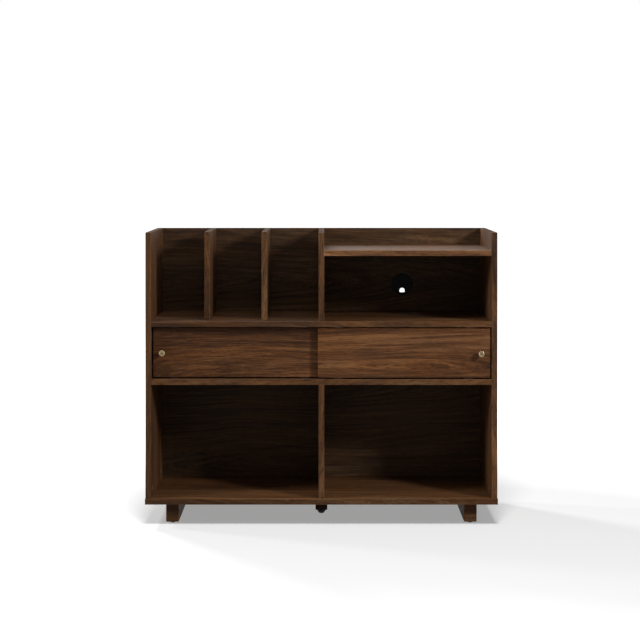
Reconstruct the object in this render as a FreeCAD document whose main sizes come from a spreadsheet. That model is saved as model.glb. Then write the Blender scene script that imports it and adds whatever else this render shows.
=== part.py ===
"""Record cabinet: a knock-down walnut cabinet with record bays, a record browser and bypass sliding doors.

Frame: +X to the right, +Y from the front to the back, +Z up, millimetres. The origin is on the floor, at the
middle of the bottom panel, under the centre leg. Every position below is given in this frame, and each board
turns it into its own frame by its corner.
"""

import FreeCAD, Part
import os

import Sketcher

Vector = FreeCAD.Vector
Rotation = FreeCAD.Rotation

# Driving dimensions, each written once.
DIMENSIONS = {
    # carcass
    "cabinet_width": 1012,
    "side_depth": 394,
    "side_height": 765,
    "board": 16,
    "floor_clearance": 62,
    "base_front_overhang": 6,
    "base_end_overhang": 1,
    "record_bay_height": 327,
    "door_bay_height": 150,
    "tray_lip": 51,
    "shelf_setback": 1,
    "bin_divider_setback": 55,
    "edge_round": 0.8,
    # thin back sheets in their grooves
    "back_sheet": 5,
    "sheet_inset": 16,
    "sheet_groove_depth": 6,
    "sheet_play": 0.2,
    "sheet_end_play": 0.5,
    # bypass doors
    "door_board": 16,
    "door_setback": 5,
    "door_spacing": 4,
    "door_lower_gap": 4,
    "door_upper_gap": 4,
    "door_end_gap": 4,
    "door_overlap": 20,
    "running_gap": 0.3,
    "bumper_radius": 4,
    "bumper_inset": 30,
    # door tracks, glides and guides
    "track_wall": 1.5,
    "channel_width": 5,
    "lower_channel_depth": 4,
    "upper_channel_depth": 9.5,
    "glide_length": 24,
    "glide_block": 8,
    "glide_block_height": 12,
    "glide_inset": 60,
    "tongue": 4,
    "tongue_round": 1.9,
    "guide_engagement": 4,
    "glide_screw_radius": 1.5,
    "glide_screw_length": 12,
    "glide_screw_head_radius": 3,
    "glide_screw_head": 1.5,
    # knobs
    "knob_radius": 8.5,
    "knob_reach": 22.5,
    "knob_head": 10.5,
    "knob_flare": 3,
    "knob_stem_radius": 4,
    "knob_foot_radius": 5.5,
    "knob_foot": 1.5,
    "knob_dish_radius": 6.6,
    "knob_dish": 1.2,
    "knob_round": 0.8,
    "knob_waist_round": 2,
    "knob_inset": 27,
    "knob_screw_radius": 2,
    "knob_screw_bite": 8,
    "knob_screw_head_radius": 4,
    "knob_screw_head": 2.2,
    # runners, centre leg and feet
    "runner_width": 37,
    "runner_inset": 56,
    "runner_setback": 39,
    "runner_chamfer": 1.5,
    "foot_height": 4,
    "foot_radius": 8,
    "foot_sole_radius": 6,
    "foot_rim": 1.6,
    "foot_inset": 18,
    "foot_pin_radius": 1.5,
    "foot_pin": 12,
    "leg_width": 35,
    "leg_lift": 12,
    "leg_stud_radius": 4,
    "leg_stud_bite": 12,
    "leveller_radius": 12.5,
    "leveller_base": 10,
    "leveller_rim": 2.4,
    "leveller_sole_radius": 7,
    "leveller_round": 2.5,
    "leveller_flutes": 12,
    "leveller_flute_radius": 3,
    "leveller_flute_depth": 0.8,
    "stem_radius": 4,
    "stem_socket": 2,
    "stem_length": 36,
    "stem_bore_depth": 32,
    "insert_radius": 6,
    "insert_length": 20,
    "insert_flange_radius": 8,
    "insert_flange": 1,
    "runner_screw_radius": 2.5,
    "runner_screw_length": 50,
    "runner_screw_bite": 12,
    "runner_screw_head_radius": 4.5,
    "runner_screw_head": 3,
    "runner_screw_spacing": 110,
    "counterbore_radius": 5.5,
    # cams, dowels and screws of the carcass
    "front_fixing": 50,
    "rear_fixing": 64,
    "dowel_spacing": 32,
    "cam_radius": 7.4,
    "cam_floor": 3,
    "cam_recess": 0.5,
    "cam_distance": 24,
    "cam_slot": 2,
    "cam_slot_length": 10.4,
    "cam_slot_depth": 2,
    "bolt_thread_radius": 3,
    "bolt_thread": 11,
    "bolt_shank_radius": 2.5,
    "bolt_head_radius": 3.5,
    "bolt_head": 3,
    "bolt_bore_radius": 4,
    "dowel_radius": 4,
    "dowel_short": 10,
    "dowel_long": 20,
    "fit_play": 0.1,
    "hole_end_play": 0.5,
    "screw_front": 60,
    "screw_rear": 320,
    "bin_screw_front": 100,
    "back_screw_low": 60,
    "back_screw_high": 56,
    "back_edge_screw_inner": 120,
    "back_edge_screw_outer": 400,
    "divider_dowel_front": 120,
    "divider_dowel_rear": 280,
    "screw_length": 50,
    "screw_thread_radius": 3.2,
    "screw_collar_radius": 3.5,
    "screw_head_radius": 4.9,
    "screw_head": 2.5,
    "sheet_screw_radius": 1.7,
    "sheet_screw_bite": 11,
    "sheet_screw_head_radius": 3.5,
    "sheet_screw_head": 2.2,
    "sheet_screw_inner": 122,
    "sheet_screw_outer": 368,
    "sheet_screw_edge": 4,
    "sheet_screw_low": 160,
    "sheet_screw_high": 320,
    # cable grommet in the back of the open compartment
    "outlet_radius": 30,
    "outlet_rise": 83,
    "grommet_wall": 2,
    "grommet_flange": 3.5,
    "grommet_flange_thickness": 1.5,
    "grommet_ledge": 2.3,
    "grommet_ledge_thickness": 1.5,
    "grommet_cap_thickness": 3,
    "cap_notch_radius": 8,
    "cap_notch_reach": 8,
}

PLANES = {"X": "YZ_Plane", "Y": "XZ_Plane", "Z": "XY_Plane"}
SKETCH_AXES = {"X": "YZ", "Y": "XZ", "Z": "XY"}
NORMAL_SIGN = {"X": 1, "Y": -1, "Z": 1}
UNIT = {"X": Vector(1, 0, 0), "Y": Vector(0, 1, 0), "Z": Vector(0, 0, 1)}

doc = FreeCAD.newDocument("record_cabinet")
sheet = doc.addObject("Spreadsheet::Sheet", "Sizes")
nodes = []


def fill_sheet():
    """Writes the driving dimensions to the sheet, each as plain text under its alias."""
    for row, (alias, number) in enumerate(DIMENSIONS.items(), start=1):
        sheet.set(f"A{row}", alias)
        sheet.set(f"B{row}", str(number))
        sheet.setAlias(f"B{row}", alias)
    doc.recompute()


def size(alias):
    """The expression that reads one driving dimension."""
    return f"Sizes.{alias}"


def value(expression):
    """The number that an expression gives now."""
    return float(sheet.evalExpression(expression))


# --------------------------------------------------------------------------- general helpers


def make_node(feature, label):
    """Names a finished object and lists it as a piece of the cabinet."""
    feature.Label = label
    nodes.append(feature)


def place(feature, corner):
    """Binds an object's position to three expressions."""
    for axis, expression in zip("xyz", corner):
        feature.setExpression(f"Placement.Base.{axis}", expression)


def new_sketch(body, axis, offset):
    """A sketch square to an axis of its own body, at a distance along that axis."""
    sketch = body.newObject("Sketcher::SketchObject", "Sketch")
    role = PLANES[axis]
    plane = [part for part in body.Origin.OriginFeatures if part.Role == role][0]
    sketch.AttachmentSupport = [(plane, "")]
    sketch.MapMode = "FlatFace"
    sign = "" if NORMAL_SIGN[axis] > 0 else "-1 * "
    sketch.setExpression("AttachmentOffset.Base.z", f"{sign}({offset})")
    return sketch


def pin_point(sketch, index, point, where):
    """Ties one point of a sketch to two expressions, counted from the sketch's origin."""
    for direction, axis_line, expression in (("DistanceX", -2, where[0]), ("DistanceY", -1, where[1])):
        if abs(value(expression)) < 1e-9:
            sketch.addConstraint(Sketcher.Constraint("PointOnObject", index, point, axis_line))
            continue
        constraint = Sketcher.Constraint(direction, -1, 1, index, point, value(expression))
        number = sketch.addConstraint(constraint)
        sketch.setExpression(f"Constraints[{number}]", expression)


def draw_polygon(sketch, corners):
    """Draws a closed outline through corners that are pairs of expressions."""
    points = [Vector(value(u), value(v), 0) for u, v in corners]
    count = len(points)
    first = sketch.GeometryCount
    for number in range(count):
        line = Part.LineSegment(points[number], points[(number + 1) % count])
        sketch.addGeometry(line, False)
    for number in range(count):
        following = first + (number + 1) % count
        sketch.addConstraint(Sketcher.Constraint("Coincident", first + number, 2, following, 1))
        pin_point(sketch, first + number, 1, corners[number])


def draw_rectangle(sketch, low, high):
    """Draws a rectangle between two opposite corners."""
    draw_polygon(sketch, [low, (high[0], low[1]), high, (low[0], high[1])])


def draw_circles(sketch, centres, radius):
    """Draws equal circles."""
    for centre in centres:
        circle = Part.Circle(Vector(value(centre[0]), value(centre[1]), 0), UNIT["Z"], value(radius))
        index = sketch.addGeometry(circle, False)
        pin_point(sketch, index, 3, centre)
        number = sketch.addConstraint(Sketcher.Constraint("Radius", index, value(radius)))
        sketch.setExpression(f"Constraints[{number}]", radius)


def pad(body, sketch, length, reverse=False):
    """Pads a sketch and recomputes, so that later features can read the solid."""
    feature = body.newObject("PartDesign::Pad", "Pad")
    feature.Profile = sketch
    feature.Reversed = reverse
    feature.setExpression("Length", length)
    doc.recompute()


def pocket(body, sketch, depth, reverse):
    """Cuts a sketch into the body and makes sure that material came away."""
    before = body.Shape.Volume
    feature = body.newObject("PartDesign::Pocket", "Pocket")
    feature.Profile = sketch
    feature.Reversed = reverse
    feature.setExpression("Length", depth)
    doc.recompute()
    if not body.Shape.Volume < before:
        raise RuntimeError(f"a pocket in {body.Label} cuts nothing")
    return feature


def dress(body, kind, radius, wanted):
    """Rounds or chamfers the edges that a test picks out of the body's solid."""
    base = body.Tip
    names = [f"Edge{n}" for n, edge in enumerate(base.Shape.Edges, start=1) if wanted(edge)]
    feature = body.newObject(f"PartDesign::{kind}", kind)
    feature.Base = (base, names)
    feature.setExpression("Radius" if kind == "Fillet" else "Size", radius)
    doc.recompute()


def is_level(edge, height):
    """Whether an edge lies all round at one height."""
    box = edge.BoundBox
    return abs(box.ZMin - height) < 1e-6 and abs(box.ZMax - height) < 1e-6 and box.XLength > 1e-6


def is_upright(edge):
    """Whether an edge is a straight line along Z."""
    box = edge.BoundBox
    return box.XLength < 1e-6 and box.YLength < 1e-6


def turned(label, profile):
    """A body turned about its own Z axis from a closed outline of (radius, height) expressions."""
    body = doc.addObject("PartDesign::Body", label)
    sketch = new_sketch(body, "Y", "0")
    draw_polygon(sketch, profile)
    feature = body.newObject("PartDesign::Revolution", "Revolution")
    feature.Profile = sketch
    feature.ReferenceAxis = (sketch, ["V_Axis"])
    feature.Angle = 360
    doc.recompute()
    return body


def stepped_profile(steps):
    """The outline of a turned pin from (radius, height reached) steps, from height 0 upwards."""
    outline = [("0", "0")]
    height = "0"
    for radius, reached in steps:
        outline.append((radius, height))
        outline.append((radius, reached))
        height = reached
    outline.append(("0", height))
    return outline


def pointing(direction, sign):
    """The turn that carries +Z to plus or minus one of the axes."""
    return Rotation(UNIT["Z"], UNIT[direction] * sign)


class Group:
    """Equal pieces that share one node, each a link to the same master piece."""

    def __init__(self, label, master):
        self.label = label
        self.master = master
        self.links = []

    def add(self, where, rotation):
        """Adds one copy at a point given by three expressions."""
        link = doc.addObject("App::Link", f"{self.label}_link")
        link.LinkedObject = self.master
        link.Placement = FreeCAD.Placement(Vector(), rotation)
        place(link, where)
        self.links.append(link)

    def finish(self):
        """Joins the copies into one node of separate solids."""
        compound = doc.addObject("Part::Compound", self.label)
        compound.Links = self.links
        make_node(compound, self.label)


class Board:
    """A flat panel, padded from its plan rectangle, and drilled and grooved by positions in the cabinet."""

    def __init__(self, label, corner, extent):
        self.corner = dict(zip("XYZ", corner))
        self.extent = dict(zip("XYZ", extent))
        self.body = doc.addObject("PartDesign::Body", label)
        sketch = new_sketch(self.body, "Z", "0")
        draw_rectangle(sketch, ("0", "0"), (extent[0], extent[1]))
        pad(self.body, sketch, extent[2])
        place(self.body, corner)
        make_node(self.body, label)

    def local(self, axis, position):
        """A position in the cabinet, counted from the board's own corner."""
        return f"({position}) - ({self.corner[axis]})"

    def high(self, axis):
        """The position of the board's far face along an axis."""
        return f"({self.corner[axis]}) + ({self.extent[axis]})"

    def face_sketch(self, axis, side):
        """A sketch on the low or the high face across an axis."""
        return new_sketch(self.body, axis, "0" if side == "low" else self.extent[axis])

    def reverse(self, axis, side):
        """Whether a pocket from that face has to run along its sketch's normal."""
        return (side == "low") == (NORMAL_SIGN[axis] > 0)

    def flat(self, axis, point):
        """The two coordinates of a point in the sketch across an axis."""
        first, second = SKETCH_AXES[axis]
        return (self.local(first, point[first]), self.local(second, point[second]))

    def drill(self, axis, side, points, radius, depth):
        """Drills equal holes into one face at points of the cabinet."""
        sketch = self.face_sketch(axis, side)
        draw_circles(sketch, [self.flat(axis, point) for point in points], radius)
        pocket(self.body, sketch, depth, self.reverse(axis, side))

    def groove(self, axis, side, low, high, depth):
        """Mills a straight-sided recess into one face between two corners."""
        sketch = self.face_sketch(axis, side)
        draw_rectangle(sketch, self.flat(axis, low), self.flat(axis, high))
        pocket(self.body, sketch, depth, self.reverse(axis, side))

    def round_front(self):
        """Takes the sharpness off the arrises round the front edge."""
        dress(self.body, "Fillet", size("edge_round"), lambda edge: edge.BoundBox.YMax < 1e-6)

    def round_all(self):
        """Takes the sharpness off every arris."""
        dress(self.body, "Fillet", size("edge_round"), lambda edge: True)


def point(x, y, z):
    """A point of the cabinet as three expressions."""
    return {"X": x, "Y": y, "Z": z}


def corner_of(where):
    """The three expressions of a point, in order."""
    return (where["X"], where["Y"], where["Z"])


def shifted(where, axis, sign, distance):
    """A point moved along one axis."""
    moved = dict(where)
    moved[axis] = f"({where[axis]}) {'+' if sign > 0 else '-'} ({distance})"
    return moved


def faces_for(axis, sign):
    """The faces that two joined boards show each other: the one entered, then the one left behind."""
    return ("low", "high") if sign > 0 else ("high", "low")


# --------------------------------------------------------------------------- levels and lines

BOARD = size("board")
HALF_WIDTH = f"{size('cabinet_width')} / 2"
INNER = f"({HALF_WIDTH} - {BOARD})"
REAR = f"({size('side_depth')} + {size('base_front_overhang')}) / 2"
FRONT = f"({REAR} - {size('side_depth')})"
SHELF_FRONT = f"({FRONT} + {size('shelf_setback')})"
UNDERSIDE = size("floor_clearance")
BASE_TOP = f"({UNDERSIDE} + {BOARD})"
LOWER_SHELF = f"({BASE_TOP} + {size('record_bay_height')})"
DOOR_BAY = f"({LOWER_SHELF} + {BOARD})"
MID_SHELF = f"({DOOR_BAY} + {size('door_bay_height')})"
OPEN_BAY = f"({MID_SHELF} + {BOARD})"
CABINET_TOP = f"({BASE_TOP} + {size('side_height')})"
TRAY = f"({CABINET_TOP} - {size('tray_lip')} - {BOARD})"
BACK_BOARD = f"({REAR} - {BOARD})"
SHEET_FRONT = f"({REAR} - {size('sheet_inset')} - {size('sheet_play')} / 2 - {size('back_sheet')})"
GROOVE_FRONT = f"({SHEET_FRONT} - {size('sheet_play')} / 2)"
GROOVE_REAR = f"({REAR} - {size('sheet_inset')})"
BIN_WIDTH = f"(({INNER} - {BOARD} / 2 - 2 * {BOARD}) / 3)"

FRONT_CAM = f"{FRONT} + {size('front_fixing')}"
REAR_CAM = f"{REAR} - {size('rear_fixing')}"
FRONT_DOWEL = f"{FRONT_CAM} + {size('dowel_spacing')}"
REAR_DOWEL = f"{REAR_CAM} - {size('dowel_spacing')}"
CAM_BORE_DEPTH = f"({BOARD} - {size('cam_floor')})"
CAM_BORE_RADIUS = f"({size('cam_radius')} + {size('fit_play')})"

FRONT_DOOR = f"({FRONT} + {size('door_setback')})"
REAR_DOOR = f"({FRONT_DOOR} + {size('door_board')} + {size('door_spacing')})"
DOOR_BOTTOM = f"({DOOR_BAY} + {size('door_lower_gap')})"
DOOR_HEIGHT = f"({size('door_bay_height')} - {size('door_lower_gap')} - {size('door_upper_gap')})"
DOOR_TOP = f"({DOOR_BOTTOM} + {DOOR_HEIGHT})"
DOOR_WIDTH = f"({INNER} - {size('door_end_gap')} + {size('door_overlap')} / 2)"
FRONT_DOOR_LINE = f"({FRONT_DOOR} + {size('door_board')} / 2)"
REAR_DOOR_LINE = f"({REAR_DOOR} + {size('door_board')} / 2)"
TRACK_WIDTH = f"({size('channel_width')} + 2 * {size('track_wall')})"
LOWER_TRACK_HEIGHT = f"({size('lower_channel_depth')} + {size('track_wall')})"
UPPER_TRACK_HEIGHT = f"({size('upper_channel_depth')} + {size('track_wall')})"

OUTLET_X = f"(({BOARD} / 2 + {INNER}) / 2)"
OUTLET_Z = f"({OPEN_BAY} + {size('outlet_rise')})"


def ends(sign):
    """The inner face of the left (-1) or right (+1) side panel."""
    return f"{'-1 * ' if sign < 0 else ''}{INNER}"


# --------------------------------------------------------------------------- masters of the hardware


def make_dowel():
    """A plain beech dowel, with the joint's plane at its short length."""
    reach = f"{size('dowel_short')} + {size('dowel_long')}"
    return turned("dowel_master", stepped_profile([(size("dowel_radius"), reach)]))


def make_cam_bolt():
    """A cam bolt: its thread, a plain shank, and the head that the cam pulls on."""
    neck = f"{size('bolt_thread')} + {size('cam_distance')} - {size('bolt_head')} / 2"
    steps = [
        (size("bolt_thread_radius"), size("bolt_thread")),
        (size("bolt_shank_radius"), neck),
        (size("bolt_head_radius"), f"{neck} + {size('bolt_head')}"),
    ]
    return turned("cam_bolt_master", stepped_profile(steps))


def make_cam():
    """A cam lock, top at its full height, bored from its rim for the bolt's head and slotted to be turned."""
    height = f"({CAM_BORE_DEPTH} - {size('cam_recess')})"
    body = turned("cam_master", stepped_profile([(size("cam_radius"), height)]))
    outside = f"({size('cam_radius')} + {size('bolt_bore_radius')})"
    entry = new_sketch(body, "X", f"-1 * {outside}")
    bolt_height = f"{BOARD} / 2 - {size('cam_floor')}"
    draw_circles(entry, [("0", bolt_height)], size("bolt_bore_radius"))
    pocket(body, entry, f"{outside} + {size('bolt_head')}", True)
    slot = new_sketch(body, "Z", height)
    half_length = f"{size('cam_slot_length')} / 2"
    half_width = f"{size('cam_slot')} / 2"
    low = (f"-1 * {half_length}", f"-1 * {half_width}")
    draw_rectangle(slot, low, (half_length, half_width))
    pocket(body, slot, size("cam_slot_depth"), False)
    return body


def make_screw(label, head_radius, head, steps, conical=False):
    """A screw with the top of its head at height 0 and its point upwards."""
    profile = stepped_profile([(head_radius, head)] + steps)
    if conical:
        del profile[2]
    return turned(label, profile)


def make_divider_screw():
    """A one-piece connector: conical head, collar through the first board, coarse thread in the edge."""
    head_radius = size("screw_head_radius")
    steps = [
        (size("screw_collar_radius"), f"{BOARD} - {size('hole_end_play')}"),
        (size("screw_thread_radius"), size("screw_length")),
    ]
    return make_screw("divider_screw_master", head_radius, size("screw_head"), steps, conical=True)


# --------------------------------------------------------------------------- joints between boards


class Joinery:
    """Drills both boards of each joint and puts the hardware in, from one set of points."""

    def __init__(self):
        self.dowels = Group("dowels", make_dowel())
        self.bolts = Group("cam_bolts", make_cam_bolt())
        self.cams = Group("cam_locks", make_cam())
        self.screws = Group("divider_screws", make_divider_screw())

    def dowel(self, shallow, deep, axis, sign, points):
        """Joins two boards with dowels; the long end goes into the deep board, along the signed axis."""
        entered, left = faces_for(axis, sign)
        radius = f"{size('dowel_radius')} + {size('fit_play')}"
        deep.drill(axis, entered, points, radius, f"{size('dowel_long')} + {size('hole_end_play')}")
        shallow.drill(axis, left, points, radius, f"{size('dowel_short')} + {size('hole_end_play')}")
        for where in points:
            start = shifted(where, axis, -sign, size("dowel_short"))
            self.dowels.add(corner_of(start), pointing(axis, sign))

    def cam(self, holder, mate, axis, sign, points, cam_axis, cam_side):
        """Joins two boards with cams in the holder, bored from one of its broad faces."""
        entered, left = faces_for(axis, sign)
        holder.drill(axis, entered, points, size("bolt_bore_radius"), size("cam_distance"))
        bite = f"{size('bolt_thread')} + {size('hole_end_play')}"
        mate.drill(axis, left, points, f"{size('bolt_thread_radius')} + {size('fit_play')}", bite)
        centres = [shifted(where, axis, sign, size("cam_distance")) for where in points]
        holder.drill(cam_axis, cam_side, centres, CAM_BORE_RADIUS, CAM_BORE_DEPTH)
        outward = 1 if cam_side == "high" else -1
        along = UNIT[axis] * sign
        up = UNIT[cam_axis] * outward
        turn = Rotation(along, up.cross(along), up, "ZXY")
        for where, centre in zip(points, centres):
            start = shifted(where, axis, -sign, size("bolt_thread"))
            self.bolts.add(corner_of(start), pointing(axis, sign))
            seat = f"{BOARD} / 2 - {size('cam_floor')}"
            self.cams.add(corner_of(shifted(centre, cam_axis, -outward, seat)), turn)

    def screw(self, through, edge, axis, sign, points):
        """Screws one board's face to another board's edge; the points lie in the joint's plane."""
        entered, _ = faces_for(axis, sign)
        play = size("fit_play")
        through.drill(axis, entered, points, f"{size('screw_collar_radius')} + {play}", BOARD)
        through.drill(axis, entered, points, f"{size('screw_head_radius')} + {play}", size("screw_head"))
        bite = f"{size('screw_length')} - {BOARD} + {size('hole_end_play')}"
        edge.drill(axis, entered, points, f"{size('screw_thread_radius')} + {play}", bite)
        for where in points:
            self.screws.add(corner_of(shifted(where, axis, -sign, BOARD)), pointing(axis, sign))

    def finish(self):
        """Writes the four groups of hardware."""
        for group in (self.cams, self.bolts, self.dowels, self.screws):
            group.finish()


# --------------------------------------------------------------------------- carcass


def make_carcass():
    """The boards of the carcass, each with its front arrises rounded."""
    depth = size("side_depth")
    shelf_depth = f"{REAR} - {SHELF_FRONT}"
    sheet_depth = f"{SHEET_FRONT} - {SHELF_FRONT}"
    open_depth = f"{BACK_BOARD} - {SHELF_FRONT}"
    centre = f"-1 * {BOARD} / 2"
    left = f"-1 * {HALF_WIDTH}"
    base_x = f"-1 * {HALF_WIDTH} - {size('base_end_overhang')}"
    base_width = f"{size('cabinet_width')} + 2 * {size('base_end_overhang')}"
    base_depth = f"{depth} + {size('base_front_overhang')}"
    full = f"2 * {INNER}"
    bin_front = f"{FRONT} + {size('bin_divider_setback')}"
    bin_depth = f"{BACK_BOARD} - ({bin_front})"
    bay_front = f"{REAR_DOOR} + {size('door_board')} + {size('door_spacing')}"
    upper_height = f"{CABINET_TOP} - {OPEN_BAY}"
    tray_width = f"{INNER} - {BOARD} / 2"
    half_tray = f"{BOARD} / 2"
    first_bin = f"-1 * {INNER} + {BIN_WIDTH}"
    second_bin = f"{first_bin} + {BOARD} + {BIN_WIDTH}"
    boards = {
        "bottom_panel": ((base_x, f"-1 * {REAR}", UNDERSIDE), (base_width, base_depth, BOARD)),
        "left_side_panel": ((left, FRONT, BASE_TOP), (BOARD, depth, size("side_height"))),
        "right_side_panel": ((INNER, FRONT, BASE_TOP), (BOARD, depth, size("side_height"))),
        "lower_shelf": ((f"-1 * {INNER}", SHELF_FRONT, LOWER_SHELF), (full, sheet_depth, BOARD)),
        "mid_shelf": ((f"-1 * {INNER}", SHELF_FRONT, MID_SHELF), (full, shelf_depth, BOARD)),
        "tray_shelf": ((half_tray, SHELF_FRONT, TRAY), (tray_width, open_depth, BOARD)),
        "lower_divider": ((centre, SHELF_FRONT, BASE_TOP), (BOARD, sheet_depth, size("record_bay_height"))),
        "door_bay_divider": (
            (centre, bay_front, DOOR_BAY),
            (BOARD, f"{SHEET_FRONT} - ({bay_front})", size("door_bay_height")),
        ),
        "upper_divider": ((centre, SHELF_FRONT, OPEN_BAY), (BOARD, open_depth, upper_height)),
        "bin_divider_left": ((first_bin, bin_front, OPEN_BAY), (BOARD, bin_depth, upper_height)),
        "bin_divider_right": ((second_bin, bin_front, OPEN_BAY), (BOARD, bin_depth, upper_height)),
        "upper_back_panel": ((f"-1 * {INNER}", BACK_BOARD, OPEN_BAY), (full, BOARD, upper_height)),
    }
    made = {label: Board(label, corner, extent) for label, (corner, extent) in boards.items()}
    for label, one in made.items():
        if label != "upper_back_panel":
            one.round_front()
    return made


def mill_grooves(boards):
    """The grooves that hold the back sheets and the door tracks."""
    depth = size("sheet_groove_depth")
    reach = f"{INNER} + {depth}"
    for name, side, face in (("left_side_panel", -1, "high"), ("right_side_panel", 1, "low")):
        low = point(ends(side), GROOVE_FRONT, BASE_TOP)
        high = point(ends(side), GROOVE_REAR, f"{MID_SHELF} + {depth}")
        boards[name].groove("X", face, low, high, depth)
    for name, face in (("bottom_panel", "high"), ("mid_shelf", "low")):
        run = reach if name == "bottom_panel" else INNER
        low = point(f"-1 * ({run})", GROOVE_FRONT, BASE_TOP)
        high = point(run, GROOVE_REAR, BASE_TOP)
        boards[name].groove("Z", face, low, high, depth)
    for line in (FRONT_DOOR_LINE, REAR_DOOR_LINE):
        low = point(f"-1 * {INNER}", f"{line} - {TRACK_WIDTH} / 2", DOOR_BAY)
        high = point(INNER, f"{line} + {TRACK_WIDTH} / 2", DOOR_BAY)
        boards["lower_shelf"].groove("Z", "high", low, high, LOWER_TRACK_HEIGHT)
        boards["mid_shelf"].groove("Z", "low", low, high, UPPER_TRACK_HEIGHT)


def join_boards(boards):
    """Every joint of the carcass."""
    joinery = Joinery()
    left, right = boards["left_side_panel"], boards["right_side_panel"]
    upper = boards["upper_divider"]
    mid = f"{BOARD} / 2"
    for side, name, face in ((-1, "left_side_panel", "high"), (1, "right_side_panel", "low")):
        line = f"{ends(side)} {'+' if side > 0 else '-'} {mid}"
        cams = [point(line, y, BASE_TOP) for y in (FRONT_CAM, REAR_CAM)]
        dowels = [point(line, y, BASE_TOP) for y in (FRONT_DOWEL, REAR_DOWEL)]
        joinery.cam(boards[name], boards["bottom_panel"], "Z", 1, cams, "X", face)
        joinery.dowel(boards["bottom_panel"], boards[name], "Z", 1, dowels)
    shelf_ends = [
        ("lower_shelf", left, 1, ends(-1), LOWER_SHELF),
        ("lower_shelf", right, -1, ends(1), LOWER_SHELF),
        ("mid_shelf", left, 1, ends(-1), MID_SHELF),
        ("mid_shelf", right, -1, ends(1), MID_SHELF),
        ("tray_shelf", upper, 1, mid, TRAY),
        ("tray_shelf", right, -1, ends(1), TRAY),
    ]
    for name, mate, sign, end, level in shelf_ends:
        cams = [point(end, y, f"{level} + {mid}") for y in (FRONT_CAM, REAR_CAM)]
        dowels = [point(end, y, f"{level} + {mid}") for y in (FRONT_DOWEL, REAR_DOWEL)]
        joinery.cam(boards[name], mate, "X", sign, cams, "Z", "low")
        joinery.dowel(mate, boards[name], "X", sign, dowels)
    screw_lines = [f"{FRONT} + {size('screw_front')}", f"{FRONT} + {size('screw_rear')}"]
    bin_lines = [f"{FRONT} + {size('bin_screw_front')}", screw_lines[1]]
    uprights = [
        ("upper_divider", screw_lines),
        ("bin_divider_left", bin_lines),
        ("bin_divider_right", bin_lines),
    ]
    base_points = [point("0", y, BASE_TOP) for y in screw_lines]
    joinery.screw(boards["bottom_panel"], boards["lower_divider"], "Z", 1, base_points)
    shelf_points = [point("0", y, LOWER_SHELF) for y in screw_lines]
    joinery.screw(boards["lower_shelf"], boards["lower_divider"], "Z", -1, shelf_points)
    back_levels = [f"{OPEN_BAY} + {size('back_screw_low')}", f"{CABINET_TOP} - {size('back_screw_high')}"]
    for name, lines in uprights:
        board = boards[name]
        middle = f"{board.corner['X']} + {mid}"
        joinery.screw(boards["mid_shelf"], board, "Z", 1, [point(middle, y, OPEN_BAY) for y in lines])
        back_points = [point(middle, BACK_BOARD, z) for z in back_levels]
        joinery.screw(boards["upper_back_panel"], board, "Y", -1, back_points)
    back_line = f"{REAR} - {mid}"
    offsets = [size("back_edge_screw_inner"), size("back_edge_screw_outer")]
    back_edge = [point(f"{sign} * {x}", back_line, OPEN_BAY) for sign in (-1, 1) for x in offsets]
    joinery.screw(boards["mid_shelf"], boards["upper_back_panel"], "Z", 1, back_edge)
    for mate, sign, end in ((left, 1, ends(-1)), (right, -1, ends(1))):
        points = [point(end, back_line, z) for z in back_levels]
        joinery.dowel(mate, boards["upper_back_panel"], "X", sign, points)
    lines = [f"{FRONT} + {size(name)}" for name in ("divider_dowel_front", "divider_dowel_rear")]
    bay = boards["door_bay_divider"]
    joinery.dowel(boards["lower_shelf"], bay, "Z", 1, [point("0", y, DOOR_BAY) for y in lines])
    joinery.dowel(boards["mid_shelf"], bay, "Z", -1, [point("0", y, MID_SHELF) for y in lines])
    joinery.finish()


def make_back_sheets(boards):
    """Two thin sheets that meet on the dividers, slid into grooves and screwed to the boards before them."""
    play = size("sheet_end_play")
    depth = size("sheet_groove_depth")
    width = f"{INNER} + {depth} - {play}"
    bottom = f"{BASE_TOP} - {depth}"
    height = f"{MID_SHELF} + {depth} - {play} - ({bottom})"
    bite = f"{size('sheet_screw_bite')} + {size('hole_end_play')}"
    shank = f"{size('sheet_screw_radius')} + {size('fit_play')}"
    head = size("sheet_screw_head")
    length = f"{head} + {size('back_sheet')} + {size('sheet_screw_bite')}"
    steps = [(size("sheet_screw_radius"), length)]
    master = make_screw("sheet_screw_master", size("sheet_screw_head_radius"), head, steps)
    screws = Group("back_sheet_screws", master)
    shelf_line = f"{LOWER_SHELF} + {BOARD} / 2"
    for sign, label in ((-1, "lower_back_sheet_left"), (1, "lower_back_sheet_right")):
        start = f"-1 * ({width})" if sign < 0 else "0"
        sheet_board = Board(label, (start, SHEET_FRONT, bottom), (width, size("back_sheet"), height))
        shelf_points = [
            point(f"{sign} * {size(name)}", SHEET_FRONT, shelf_line)
            for name in ("sheet_screw_inner", "sheet_screw_outer")
        ]
        divider_points = [
            point(f"{sign} * {size('sheet_screw_edge')}", SHEET_FRONT, size(name))
            for name in ("sheet_screw_low", "sheet_screw_high")
        ]
        sheet_board.drill("Y", "high", shelf_points + divider_points, shank, size("back_sheet"))
        boards["lower_shelf"].drill("Y", "high", shelf_points, shank, bite)
        boards["lower_divider"].drill("Y", "high", divider_points, shank, bite)
        for where in shelf_points + divider_points:
            outer = shifted(where, "Y", 1, f"{size('back_sheet')} + {head}")
            screws.add(corner_of(outer), pointing("Y", -1))
    screws.finish()


# --------------------------------------------------------------------------- doors


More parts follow.
